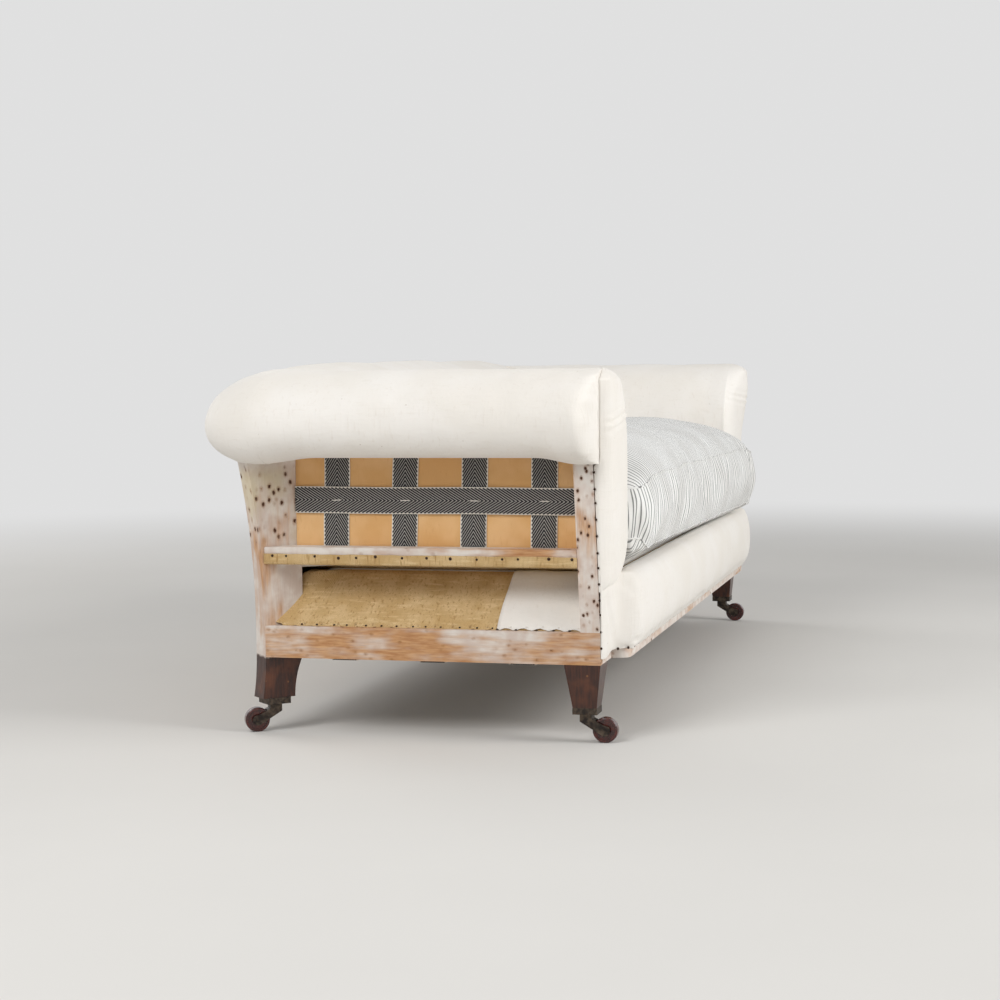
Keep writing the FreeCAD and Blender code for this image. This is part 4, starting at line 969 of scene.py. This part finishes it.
for side, sign in ENDS:
    rings, held = [], []
    lead = [FRONT + ROLL_ROUND * share for share in (0.0, 0.02, 0.07, 0.15, 0.26, 0.4, 0.58, 0.78)]
    for y in lead + steps(FRONT + ROLL_ROUND, CORNER_Y, ROLL_STEP):
        limit = CROWN_IN + (CORNER_Y - y) * MITRE
        out_share = 0.1 + 0.9 * ease((y - FRONT) / ROLL_ROUND)
        out_share += NOSE_SWELL * blend_in(y, -0.1, CORNER_Y)
        arch = roll_arch(y - FRONT, CORNER_Y - y)
        ring, fixed = section(ARM_REACH, min(limit, ARM_REACH), out_share, arch, 0.0)
        front_dip = 0.0025 * (1 - ease((y - FRONT) / 0.02))
        rings.append([Vector((sign * (END + out), y, up - front_dip * (up > NOSE))) for out, up in ring])
        end_hold = max(1 - blend_in(y, FRONT, FRONT + 0.05), blend_in(y, CORNER_Y - 0.16, CORNER_Y))
        held.append([max(float(still), end_hold) for still in fixed])
    arm = stuffed(f"arm_{side}", rings, held)
    ruffle(arm, 0.13, 0.004, 3.0 * sign)
    puff(arm, 0.007)
    ruffle(arm, 0.035, 0.0012, 5.0 * sign)
    for vert in arm.data.vertices:
        near_seam = math.exp(-((vert.co.y - FRONT - 0.008) / 0.02) ** 2)
        pleat = math.sin(vert.co.z * math.tau / 0.0125 + 3 * noise.noise(vert.co * 25))
        if abs(vert.co.x) > END - 0.02 and vert.co.z > NOSE - 0.06:
            vert.co += vert.normal * 0.0016 * near_seam * pleat
    soften(arm, calico.material, "sofa", "calico", 0.85, f"arm_pad_{side}")

rings, held = [], []


def corner_rings(sign, angles):
    """The roll where it turns a rear corner of the frame."""
    for angle in angles:
        ring, fixed = section(BACK_REACH, CROWN_IN, 1.0 + NOSE_SWELL, 0.0, 0.0)
        out_way = Vector((sign * math.cos(angle), math.sin(angle), 0))
        centre = Vector((sign * CORNER_X, CORNER_Y, 0))
        rings.append([centre + out_way * (CROWN_IN + out) + Vector((0, 0, up)) for out, up in ring])
        held.append([max(float(still), 1 - blend_in(angle, 0.0, 1.2)) for still in fixed])


corner_turn = steps(0.0, math.pi / 2, 0.075)[:-1]
corner_rings(-1, corner_turn)
for x in steps(-CORNER_X, CORNER_X, ROLL_STEP):
    limit = CROWN_IN + (CORNER_X - abs(x)) / MITRE
    lift = (0.011 + 0.0015 * math.cos(x * 9.0)) * blend_in(CORNER_X - abs(x), 0.0, 0.4)
    arch = roll_arch(x + CORNER_X, CORNER_X - x)
    ring, fixed = section(BACK_REACH, min(limit, BACK_REACH), 1.0 + NOSE_SWELL, arch, lift)
    rings.append([Vector((x, BACK + out, up)) for out, up in ring])
    held.append([float(still) for still in fixed])
corner_rings(1, reversed(corner_turn))
backrest = stuffed("back_rest", rings, held)
ruffle(backrest, 0.16, 0.003, 9.0)
puff(backrest, 0.008)
ruffle(backrest, 0.04, 0.0012, 2.0)
soften(backrest, calico.material, "sofa", "calico", 0.85, "back_pad")


# Arm facings: flat calico panels over a thin pad on the facing boards, hand sewn down the outer
# seam and rounded over at the inside edge, with a few drawn pleats under the roll.
FACING_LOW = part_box("arm_facing_left")[0].z
FACING_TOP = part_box("arm_facing_left")[1].z
FACING_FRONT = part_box("arm_facing_left")[0].y
FACING_FOOT = 0.306
FOOT_WIDTH = 0.067
SEAM_TOP = FACING_TOP - 0.02
POST_IN = END - abs(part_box("front_post_left")[1].x)
POST_LEAN = POST_BACK_TOP - POST_BACK_LOW
FACING_EDGE = 0.034
FLAP = 0.0012
PLEAT_DEPTH, PLEAT_LEVEL, PLEAT_PITCH = 0.0022, 0.622, 0.017
SEAM_GROOVE = 0.0022


def facing_width(up):
    """The width of a facing at a height, from the outer seam inwards."""
    if up <= SHOULDER:
        share = min(1.0, max(0.0, (up - FACING_FOOT) / 0.1))
        return FOOT_WIDTH + (ARM_REACH - FOOT_WIDTH) * (1 - (1 - share) ** 2.2)
    share = (up - SHOULDER) / (FACING_TOP - SHOULDER)
    return 0.048 + (ARM_REACH - 0.048) * math.sqrt(max(0.0, 1 - share * share))


def post_face(up):
    """The front of a front post, which leans back towards its top."""
    return FRONT + POST_LEAN * min(1.0, max(0.0, (up - POST_LOW) / (POST_TOP - POST_LOW)))


for side, sign in ENDS:
    rings, held = [], []
    for up in steps(FACING_FOOT - 0.008, SHOULDER, 0.008) + steps(SHOULDER, FACING_TOP, 0.0036)[1:]:
        inner = facing_width(min(up, FACING_TOP - 0.0004))
        outer = max(0.0, 0.046 * (up - SEAM_TOP) / (FACING_TOP - SEAM_TOP)) if up > SEAM_TOP else 0.0
        behind = post_face(up) if up < ROLL_FOOT + 0.006 else FRONT
        seam_line = FOOT_WIDTH * 0.9 * (1 - blend_in(up, 0.30, 0.62))
        crest = (0.022 if side == "right" else 0.0) * blend_in(up, 0.5, 0.68)
        turn_run = min(FACING_EDGE, (inner - outer) * 0.8)
        places = steps(outer, inner - turn_run, (inner - turn_run - outer) / 16)
        places += [inner - turn_run * (1 - math.sin(math.pi / 2 * turn / 9)) for turn in range(1, 10)]
        ring, fixed = [], []
        for across in places:
            edge = min((across - outer) / 0.004, (inner - across) / FACING_EDGE, (FACING_TOP - up) / 0.026,
                       (up - FACING_FOOT + 0.008) / 0.02, 1.0)
            dome = 0.004 * math.sin(math.pi * min(1.0, across / ARM_REACH) ** 0.8)
            dome += crest * math.exp(-((across - 0.07) / 0.06) ** 2)
            slant = up - across * 0.12
            creases = PLEAT_DEPTH * math.exp(-((slant - PLEAT_LEVEL) / 0.02) ** 2)
            creases *= math.sin(slant * math.tau / PLEAT_PITCH)
            groove = SEAM_GROOVE * math.exp(-((across - seam_line) / 0.0028) ** 2) * (seam_line > 0.004)
            front = ((FRONT - FACING_FRONT) * ease(edge) + dome + creases - groove) * max(0.04, ease(edge))
            ring.append(Vector((sign * (END - across), FRONT - max(0.0008, front), up)))
            fixed.append(1.0 if edge < 0.05 else 0.0)
        covered = ARM_REACH if up <= SHOULDER else inner
        flap_front = -FLAP if covered > inner + FLAP else 0.002
        wrap = ((covered + 0.0003, flap_front), (covered + 0.0006, 0.006), (covered - 0.002, 0.013))
        for across, back_by in wrap:
            ring.append(Vector((sign * (END - across), FRONT + back_by, up)))
            fixed.append(1.0)
        for across in reversed(places[:-1]):
            rear = behind - 0.0003 if across < POST_IN else FRONT + 0.003
            ring.append(Vector((sign * (END - across), rear, up)))
            fixed.append(1.0)
        rings.append(ring)
        held.append(fixed)
    facing = stuffed(f"facing_{side}", rings, held)
    puff(facing, 0.002)
    ruffle(facing, 0.06, 0.001, 4.0 * sign)
    soften(facing, calico.material, "sofa", "calico", 0.7, f"arm_facing_{side}")


# Front border: a stuffed roll of calico along the lip board under the cushion. Its lower edge is
# tacked to the lip in scallops, and its ends run round the lip's corners to the front posts.
border_low, border_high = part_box("front_border")
LIP_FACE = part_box("lip_board")[0].y
LIP_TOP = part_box("lip_board")[1].z
LIP_TACK_PITCH = 0.048
BORDER_TURN = math.pi * 0.94
BORDER_BULGE = LIP_FACE - border_low.y
RAIL_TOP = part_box("front_rail")[1].z


def border_face(inside):
    """The line that the lower edge follows, at a distance in from the end of the frame."""
    return FRONT - 0.007 - (FRONT - 0.007 - LIP_FACE + 0.0012) * blend_in(inside, 0.078, 0.128)


rings, held = [], []
lead = [END - place for place in (0.0, 0.002, 0.006, 0.012)]
run = steps(-(END - 0.02), END - 0.02, 0.0095)
for x in [-place for place in lead] + run + list(reversed(lead)):
    inside = END - abs(x)
    face = border_face(inside)
    turned = ease(inside / 0.012)
    sag = 0.0015 * noise.noise((x * 6, 0.2, 0.1))
    bulge = 0.004 + (BORDER_BULGE + sag - 0.004) * blend_in(inside, 0.03, 0.17)
    scallop = 0.0065 * abs(math.sin(math.pi * x / LIP_TACK_PITCH)) ** 0.6 * blend_in(inside, 0.1, 0.15)
    corner_drop = 0.008 * (1 - blend_in(inside, 0.02, 0.09))
    low_z, high_z = border_low.z - scallop - corner_drop, border_high.z + 0.0015
    ring, fixed = [], []
    for share in steps(0.0, 1.0, 1 / 26):
        angle = BORDER_TURN * share
        up = low_z + (high_z - low_z) * (1 - math.cos(angle)) / (1 - math.cos(BORDER_TURN))
        out = bulge * math.sin(angle) ** (1.5 - 0.75 * blend_in(share, 0.2, 0.5))
        turn_in = 0.012 * blend_in(inside, 0.1, 0.2) * max(0.0, (share - 0.8) / 0.2) ** 2
        y = min(FRONT - 0.0012, face - out + turn_in)
        ring.append(Vector((x, FRONT - 0.0006 + (y - FRONT + 0.0006) * max(0.15, turned), up)))
        fixed.append(1.0 if share < 0.05 else 0.0)
    ledge = LIP_TOP + 0.0006 if inside > 0.13 else (low_z + LIP_TOP) / 2
    back_face = FRONT - 0.0005
    foot_face = min(back_face, face + 0.0004) if inside > 0.13 else back_face
    between_arms = abs(x) < END - ARM_REACH - 0.002
    behind = border_high.y - 0.0004 if between_arms else back_face
    under = RAIL_TOP + 0.002 if between_arms else (high_z + ledge) / 2
    rear = ((behind, high_z - 0.001), (behind, under), (back_face, under - 0.0002), (back_face, ledge),
            (foot_face, ledge), (foot_face, low_z + 0.0008))
    ring += [Vector((x, y, up)) for y, up in rear]
    rings.append(ring)
    held.append(fixed + [1.0] * len(rear))
border = stuffed("border_roll", rings, held)
ruffle(border, 0.1, 0.001, 6.0)
puff(border, 0.004)
ruffle(border, 0.03, 0.0004, 1.0)
soften(border, calico.material, "sofa", "calico", 0.8, "front_border")


# Tacks: domed iron heads along the lip under the border, up the edges of the front posts, and
# along the hessian strips and the lower edge of the calico returns.
tack_iron = Finish("tack_iron", Metallic=0.7)
tack_cloud = tack_iron.noise(0.004, 3)
tack_iron.colour(tack_iron.mix(tack_cloud, dye(34, 29, 26), dye(78, 54, 38)))
tack_iron.rough(tack_iron.span(tack_cloud, 0.4, 0.7))
tack_iron.bump(tack_cloud, 0.0004)
tack_points, tack_faces = [], []


def tack(spot, outward, radius, rise):
    """A domed head on a surface, with a flat back."""
    side_way = outward.orthogonal().normalized()
    up_way = outward.cross(side_way)
    start = len(tack_points)
    for level in range(4):
        angle = math.pi / 2 * level / 4
        for turn in range(10):
            around = math.tau * turn / 10
            way = side_way * math.cos(around) + up_way * math.sin(around)
            tack_points.append(spot + way * radius * math.cos(angle) + outward * rise * math.sin(angle))
    tack_points.append(spot + outward * rise)
    hoops(tack_faces, start, 4, 10)
    for turn in range(10):
        tack_faces.append((start + 30 + turn, start + 30 + (turn + 1) % 10, start + 40))
    tack_faces.append(tuple(start + turn for turn in reversed(range(10))))


TACK_RADIUS = 0.003
random.seed(11)
lip_tacks = int((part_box("lip_board")[1].x - 0.026) / LIP_TACK_PITCH)
for number in range(-lip_tacks, lip_tacks + 1):
    x = number * LIP_TACK_PITCH
    tack(Vector((x, LIP_FACE - 0.0002, FACING_LOW - 0.0022)), Vector((0, -1, 0)), TACK_RADIUS, 0.0022)
for side, sign in ENDS:
    outward = Vector((sign, 0, 0))
    for inside in (0.092, 0.112):
        spot = Vector((sign * (END - inside), border_face(inside) - 0.0042, FACING_LOW + 0.001))
        tack(spot, Vector((sign * 0.7, -0.7, 0)), TACK_RADIUS, 0.002)
    for up in steps(POST_LOW - 0.03, ROLL_FOOT - 0.014, 0.032):
        spot = outside_point(side, post_face(up) - 0.002, -0.0006, up + random.uniform(-0.003, 0.003))
        tack(spot, outward, TACK_RADIUS * 0.85, 0.0018)
    strip_low, strip_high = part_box(f"rail_hessian_{side}")
    for along in steps(strip_low.y + 0.012, strip_high.y - 0.012, 0.046):
        place = along + random.uniform(-0.012, 0.012)
        level = strip_high.z - 0.004 + random.uniform(-0.003, 0.001)
        tack(outside_point(side, place, -0.0026, level), outward,
             TACK_RADIUS * random.uniform(0.8, 1.2), 0.0018)
    fold_low, fold_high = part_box(f"calico_return_{side}")
    for along in steps(fold_low.y + 0.006, fold_high.y - 0.004, 0.04):
        spot = outside_point(side, along + random.uniform(-0.004, 0.004), 0.006, fold_low.z + 0.0008)
        tack(spot, UP, TACK_RADIUS, 0.0024)
    for along in steps(fold_high.y + 0.012, 0.25, 0.034):
        spot = outside_point(side, along + random.uniform(-0.005, 0.005), 0.0125, SEAT_TOP + 0.003)
        tack(spot, Vector((sign * 0.5, 0, 0.8)).normalized(), TACK_RADIUS * 0.8, 0.0016)
tacks = join_mesh("tack_heads", tack_points, tack_faces, tack_iron.material)
belongs(tacks, "tack_iron", "upholstery_tacks")


# Seat cushion: one long loose feather cushion in striped ticking, made as a top, a bottom and a
# border between two seams. It is overfilled, so the top is deep and the border bulges.
ticking = Finish("striped_ticking", Roughness=0.88, Sheen_Weight=0.1)
STRIPE_PITCH = 0.0108
stripe_u = ticking.axes(ticking.cut)[0]
stripe_wave = ticking.calc("FRACT", ticking.calc("DIVIDE", stripe_u, STRIPE_PITCH))
stripe_wave = ticking.calc("ABSOLUTE", ticking.calc("SUBTRACT", stripe_wave, 0.5))
stripe = ticking.step(stripe_wave, 0.35, 0.39)
ticking_yarn = ticking.noise(0.0018, 3)
ticking_fade = ticking.noise(0.1, 3)
ground = ticking.mix(ticking.step(ticking_fade, 0.35, 0.66), dye(230, 229, 226), dye(242, 242, 240))
ink = ticking.mix(ticking_yarn, dye(112, 114, 113), dye(146, 147, 145))
ticking.colour(ticking.mix(stripe, ground, ink))
ticking.bump(ticking_yarn, 0.0003)
ticking.bump(stripe, 0.0002)

low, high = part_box("seat_cushion")
CUSHION_FLOOR = low.z
SEAM_LOW = CUSHION_FLOOR + 0.010
SEAM_RISE = 0.030
CORNER_DROOP = 0.018
SEAM_HIGH = CUSHION_FLOOR + 0.158
CROWN = high.z - SEAM_HIGH
HALF_X = (high.x - low.x) / 2 - 0.012
HALF_Y = (high.y - low.y) / 2 - 0.012
MIDDLE_Y = (high.y + low.y) / 2
CUSHION_CORNER = 0.075
CUSHION_STEP = 0.0088


def rounded(x, y):
    """Turn the square corners of the cushion's plan into round ones."""
    over_x = abs(x) - (HALF_X - CUSHION_CORNER)
    over_y = abs(y) - (HALF_Y - CUSHION_CORNER)
    if over_x <= 0 or over_y <= 0:
        return x, y
    share_x, share_y = over_x / CUSHION_CORNER, over_y / CUSHION_CORNER
    new_x = HALF_X - CUSHION_CORNER + over_x * math.sqrt(1 - share_y ** 2 / 2)
    new_y = HALF_Y - CUSHION_CORNER + over_y * math.sqrt(1 - share_x ** 2 / 2)
    return math.copysign(new_x, x), math.copysign(new_y, y)


def settled(x, y, up):
    """A plan point in the sofa: the cushion lies a little askew and its sides draw in."""
    askew = -0.023 * x / HALF_X * (0.5 - 0.5 * y / HALF_Y)
    draw = 1 - 0.012 * (1 - (abs(x) / HALF_X) ** 2)
    return Vector((x, MIDDLE_Y + y * draw + askew, up))


def top_height(x, y):
    """The top of the cushion before it is filled: crowned, dented and low at the corners."""
    fall = (1 - abs(x / HALF_X) ** 5) * (1 - abs(y / HALF_Y) ** 2.6)
    dent = 0.010 * noise.noise((x * 3.2, y * 4.5, 0.6))
    droop = CORNER_DROOP * blend_in(abs(x), HALF_X - 0.16, HALF_X)
    droop *= blend_in(abs(y), HALF_Y - 0.2, HALF_Y)
    seam = SEAM_HIGH - droop + 0.004 * noise.noise((x * 7, y * 7, 8.8))
    return seam + CROWN * 0.93 * max(0.0, fall) ** 0.62 + dent * max(0.0, fall)


def bottom_height(x, y):
    """The bottom of the cushion: flat on the deck, and rising to its seam."""
    edge = min((HALF_X - abs(x)) / 0.07, (HALF_Y - abs(y)) / 0.05)
    seam = SEAM_LOW + SEAM_RISE * blend_in(abs(x), HALF_X - 0.1, HALF_X)
    return seam - (seam - CUSHION_FLOOR - 0.0006) * ease(edge)


plan_x = steps(-HALF_X, HALF_X, CUSHION_STEP)
plan_y = steps(-HALF_Y, HALF_Y, CUSHION_STEP)
cushion_mesh = bmesh.new()
pin_layer = cushion_mesh.verts.layers.float.new("held")
cut_layer = cushion_mesh.loops.layers.uv.new("cloth")
sheets = {}
for name, height in (("top", top_height), ("bottom", bottom_height)):
    sheets[name] = []
    for y in plan_y:
        row = []
        for x in plan_x:
            plan = rounded(x, y)
            vert = cushion_mesh.verts.new(settled(*plan, height(x, y)))
            flat_on_deck = name == "bottom" and min(HALF_X - abs(x), HALF_Y - abs(y)) > 0.05
            vert[pin_layer] = 1.0 if flat_on_deck else 0.0
            row.append(vert)
        sheets[name].append(row)


def face(corners, cuts):
    """A face of the cushion, with the places of its corners on the flat ticking."""
    made = cushion_mesh.faces.new(corners)
    made.smooth = True
    for loop, place in zip(made.loops, cuts):
        loop[cut_layer].uv = place


for name in ("top", "bottom"):
    rows = sheets[name]
    for row in range(len(plan_y) - 1):
        for column in range(len(plan_x) - 1):
            square = [(row, column), (row, column + 1), (row + 1, column + 1), (row + 1, column)]
            square = square if name == "top" else square[::-1]
            face([rows[r][c] for r, c in square], [(plan_x[c], plan_y[r]) for r, c in square])

around = rim_of(len(plan_y), len(plan_x))
run_length, runs = 0.0, []
for number, (row, column) in enumerate(around):
    runs.append(run_length)
    next_row, next_column = around[(number + 1) % len(around)]
    here, there = sheets["top"][row][column].co, sheets["top"][next_row][next_column].co
    run_length += math.hypot(here.x - there.x, here.y - there.y)
BORDER_ROWS = 12
BORDER_HEIGHT = 0.12
BELLY = 0.015
levels = [[sheets["bottom"][r][c] for r, c in around]]
for level in range(1, BORDER_ROWS):
    share = level / BORDER_ROWS
    ring = []
    for number, (row, column) in enumerate(around):
        lower, upper = sheets["bottom"][row][column].co, sheets["top"][row][column].co
        before = sheets["top"][around[number - 1][0]][around[number - 1][1]].co
        after_row, after_column = around[(number + 1) % len(around)]
        after = sheets["top"][after_row][after_column].co
        outward = Vector((after.y - before.y, before.x - after.x, 0)).normalized()
        gather = 0.0018 - 0.0075 * max(0.0, noise.noise((runs[number] * 42, share * 1.1, 3.3))) ** 0.8
        swell = BELLY * math.sin(math.pi * share) + gather * math.sin(math.pi * share)
        ring.append(cushion_mesh.verts.new(lower.lerp(upper, share) + outward * swell))
    levels.append(ring)
levels.append([sheets["top"][r][c] for r, c in around])
for level in range(BORDER_ROWS):
    for number in range(len(around)):
        following = (number + 1) % len(around)
        ahead = runs[following] if following else run_length
        low_up, high_up = (step / BORDER_ROWS * BORDER_HEIGHT for step in (level, level + 1))
        face([levels[level][number], levels[level][following], levels[level + 1][following],
              levels[level + 1][number]],
             [(runs[number] - HALF_X, low_up), (ahead - HALF_X, low_up), (ahead - HALF_X, high_up),
              (runs[number] - HALF_X, high_up)])
cushion_mesh.verts.index_update()
seam_loops = [[vert.index for vert in levels[0]], [vert.index for vert in levels[-1]]]
bmesh.ops.recalc_face_normals(cushion_mesh, faces=cushion_mesh.faces)
cushion_data = bpy.data.meshes.new("feather_cushion")
cushion_mesh.to_mesh(cushion_data)
cushion_mesh.free()
cushion = bpy.data.objects.new("feather_cushion", cushion_data)
bpy.context.scene.collection.objects.link(cushion)
puff(cushion, 0.020, pressure=3.0, slack=0.02)
for vert in cushion.data.vertices:
    vert.co.z = max(vert.co.z, CUSHION_FLOOR + 0.0006)
GATHER_WIDTH = 0.0075
GATHER_REACH = 0.035
random.seed(23)
gathers, spot = [], -HALF_X
while spot < HALF_X:
    gathers.append((spot, random.uniform(0.0015, 0.0042), random.uniform(-0.3, 0.3)))
    spot += random.uniform(0.02, 0.055)
normals = [vert.normal.copy() for vert in cushion.data.vertices]
for vert, way in zip(cushion.data.vertices, normals):
    above = vert.co.z - SEAM_HIGH
    if vert.co.y > MIDDLE_Y - HALF_Y * 0.5 or vert.co.z < CUSHION_FLOOR + 0.02:
        continue
    reach = math.exp(-above / GATHER_REACH) if above > 0 else 1 - blend_in(-above, 0.05, 0.15)
    for place, depth, drift in gathers:
        off = (vert.co.x - place - drift * above) / GATHER_WIDTH
        if abs(off) < 2.5:
            vert.co -= way * depth * reach * math.exp(-off * off)
ruffle(cushion, 0.05, 0.0016, 8.0)
ruffle(cushion, 0.018, 0.0006, 3.0)
soften(cushion, ticking.material, "cushion", "ticking", 0.75, "seat_cushion")


# Cushion seams: the two seams where the border joins the top and the bottom, each a narrow
# turned edge of the same ticking that stands just proud of the cloth.
SEAM_GIRTH = 0.0019
seam_points, seam_faces, seam_cuts = [], [], []
for loop in seam_loops:
    line = [cushion.data.vertices[index].co for index in loop]
    start, count = len(seam_points), len(line)
    for number, point in enumerate(line):
        way = (line[(number + 1) % count] - line[number - 1]).normalized()
        out = way.cross(UP).normalized()
        for turn in range(8):
            angle = math.tau * turn / 8
            seam_points.append(
                point + out * (SEAM_GIRTH * math.cos(angle)) + UP * SEAM_GIRTH * math.sin(angle))
            seam_cuts.append((point.x + point.y, angle))
    hoops(seam_faces, start, count, 8, closed=True)
seams = join_mesh("cushion_seams", seam_points, seam_faces, ticking.material, seam_cuts)
belongs(seams, "ticking", body="cushion")


# The stage: a plain pale floor, soft lamps at the front, the open end and the back, and the
# camera at the viewing angle of the reference.
floor_finish = Finish("pale_floor", Roughness=0.9)
floor_cloud = floor_finish.noise(0.8, 4)
floor_finish.colour(floor_finish.mix(floor_cloud, dye(214, 212, 208), dye(222, 220, 216)))
floor_x, floor_y, _ = floor_finish.axes(floor_finish.place)
floor_reach = floor_finish.calc(
    "ADD", floor_finish.calc("POWER", floor_x, 2.0), floor_finish.calc("POWER", floor_y, 2.0))
floor_reach = floor_finish.calc("POWER", floor_reach, 0.5)
haze = floor_finish.tree.nodes.new("ShaderNodeEmission")
haze.inputs["Color"].default_value = (0.747, 0.747, 0.747, 1)
fade = floor_finish.tree.nodes.new("ShaderNodeMixShader")
floor_finish.feed(fade.inputs[0], floor_finish.step(floor_reach, 2.6, 6.0))
floor_finish.feed(fade.inputs[1], floor_finish.surface.outputs[0])
floor_finish.feed(fade.inputs[2], haze.outputs[0])
floor_finish.feed(floor_finish.tree.nodes["Material Output"].inputs["Surface"], fade.outputs[0])
bpy.ops.mesh.primitive_plane_add(size=80, location=(0, 0, 0))
floor = bpy.context.object
floor.name = "pale_floor"
floor.data.materials.append(floor_finish.material)

world = bpy.data.worlds.new("pale_room")
bpy.context.scene.world = world
world.use_nodes = True
background = world.node_tree.nodes["Background"]
background.inputs["Color"].default_value = (0.90, 0.90, 0.90, 1)
ray = world.node_tree.nodes.new("ShaderNodeLightPath")
seen = world.node_tree.nodes.new("ShaderNodeMath")
seen.operation = "MAXIMUM"
world.node_tree.links.new(ray.outputs["Is Camera Ray"], seen.inputs[0])
world.node_tree.links.new(ray.outputs["Is Glossy Ray"], seen.inputs[1])
bright = world.node_tree.nodes.new("ShaderNodeMapRange")
bright.inputs["To Min"].default_value = 0.42
bright.inputs["To Max"].default_value = 0.83
world.node_tree.links.new(seen.outputs[0], bright.inputs["Value"])
world.node_tree.links.new(bright.outputs[0], background.inputs["Strength"])


def soft_lamp(name, spot, aim, size, watts):
    """A square lamp at a spot, turned to what it is aimed at."""
    lamp = bpy.data.lights.new(name, "AREA")
    lamp.energy = watts
    lamp.size = size
    holder = bpy.data.objects.new(name, lamp)
    holder.location = spot
    holder.rotation_euler = (Vector(aim) - Vector(spot)).to_track_quat("-Z", "Y").to_euler()
    bpy.context.scene.collection.objects.link(holder)


soft_lamp("front_light", (-1.2, -4.8, 2.6), (0, 0, 0.4), 2.6, 160)
soft_lamp("end_light", (-4.4, 1.5, 3.5), (-0.8, 0, 0.4), 2.2, 112)
soft_lamp("back_light", (2.4, 4.6, 3.2), (0, 0, 0.4), 3.0, 70)

CAMERA_SPOT = Vector((-4.8487, -1.1449, 0.7481))
CAMERA_YAW, CAMERA_PITCH, CAMERA_ROLL = 14.162, -3.897, -0.649
CAMERA_LENS = 73.73
yaw, pitch, roll = (math.radians(angle) for angle in (CAMERA_YAW, CAMERA_PITCH, CAMERA_ROLL))
forward = Vector((math.cos(pitch) * math.cos(yaw), math.cos(pitch) * math.sin(yaw), math.sin(pitch)))
right = forward.cross(UP).normalized()
above = right.cross(forward)
right, above = (right * math.cos(roll) + above * math.sin(roll),
                above * math.cos(roll) - right * math.sin(roll))
lens = bpy.data.cameras.new("camera")
lens.lens = CAMERA_LENS
lens.sensor_width = 36.0
camera = bpy.data.objects.new("camera", lens)
turned_to = Matrix((right, above, -forward)).transposed().to_4x4()
camera.matrix_world = Matrix.Translation(CAMERA_SPOT) @ turned_to
bpy.context.scene.collection.objects.link(camera)
bpy.context.scene.camera = camera
bpy.context.scene.view_settings.view_transform = "Standard"
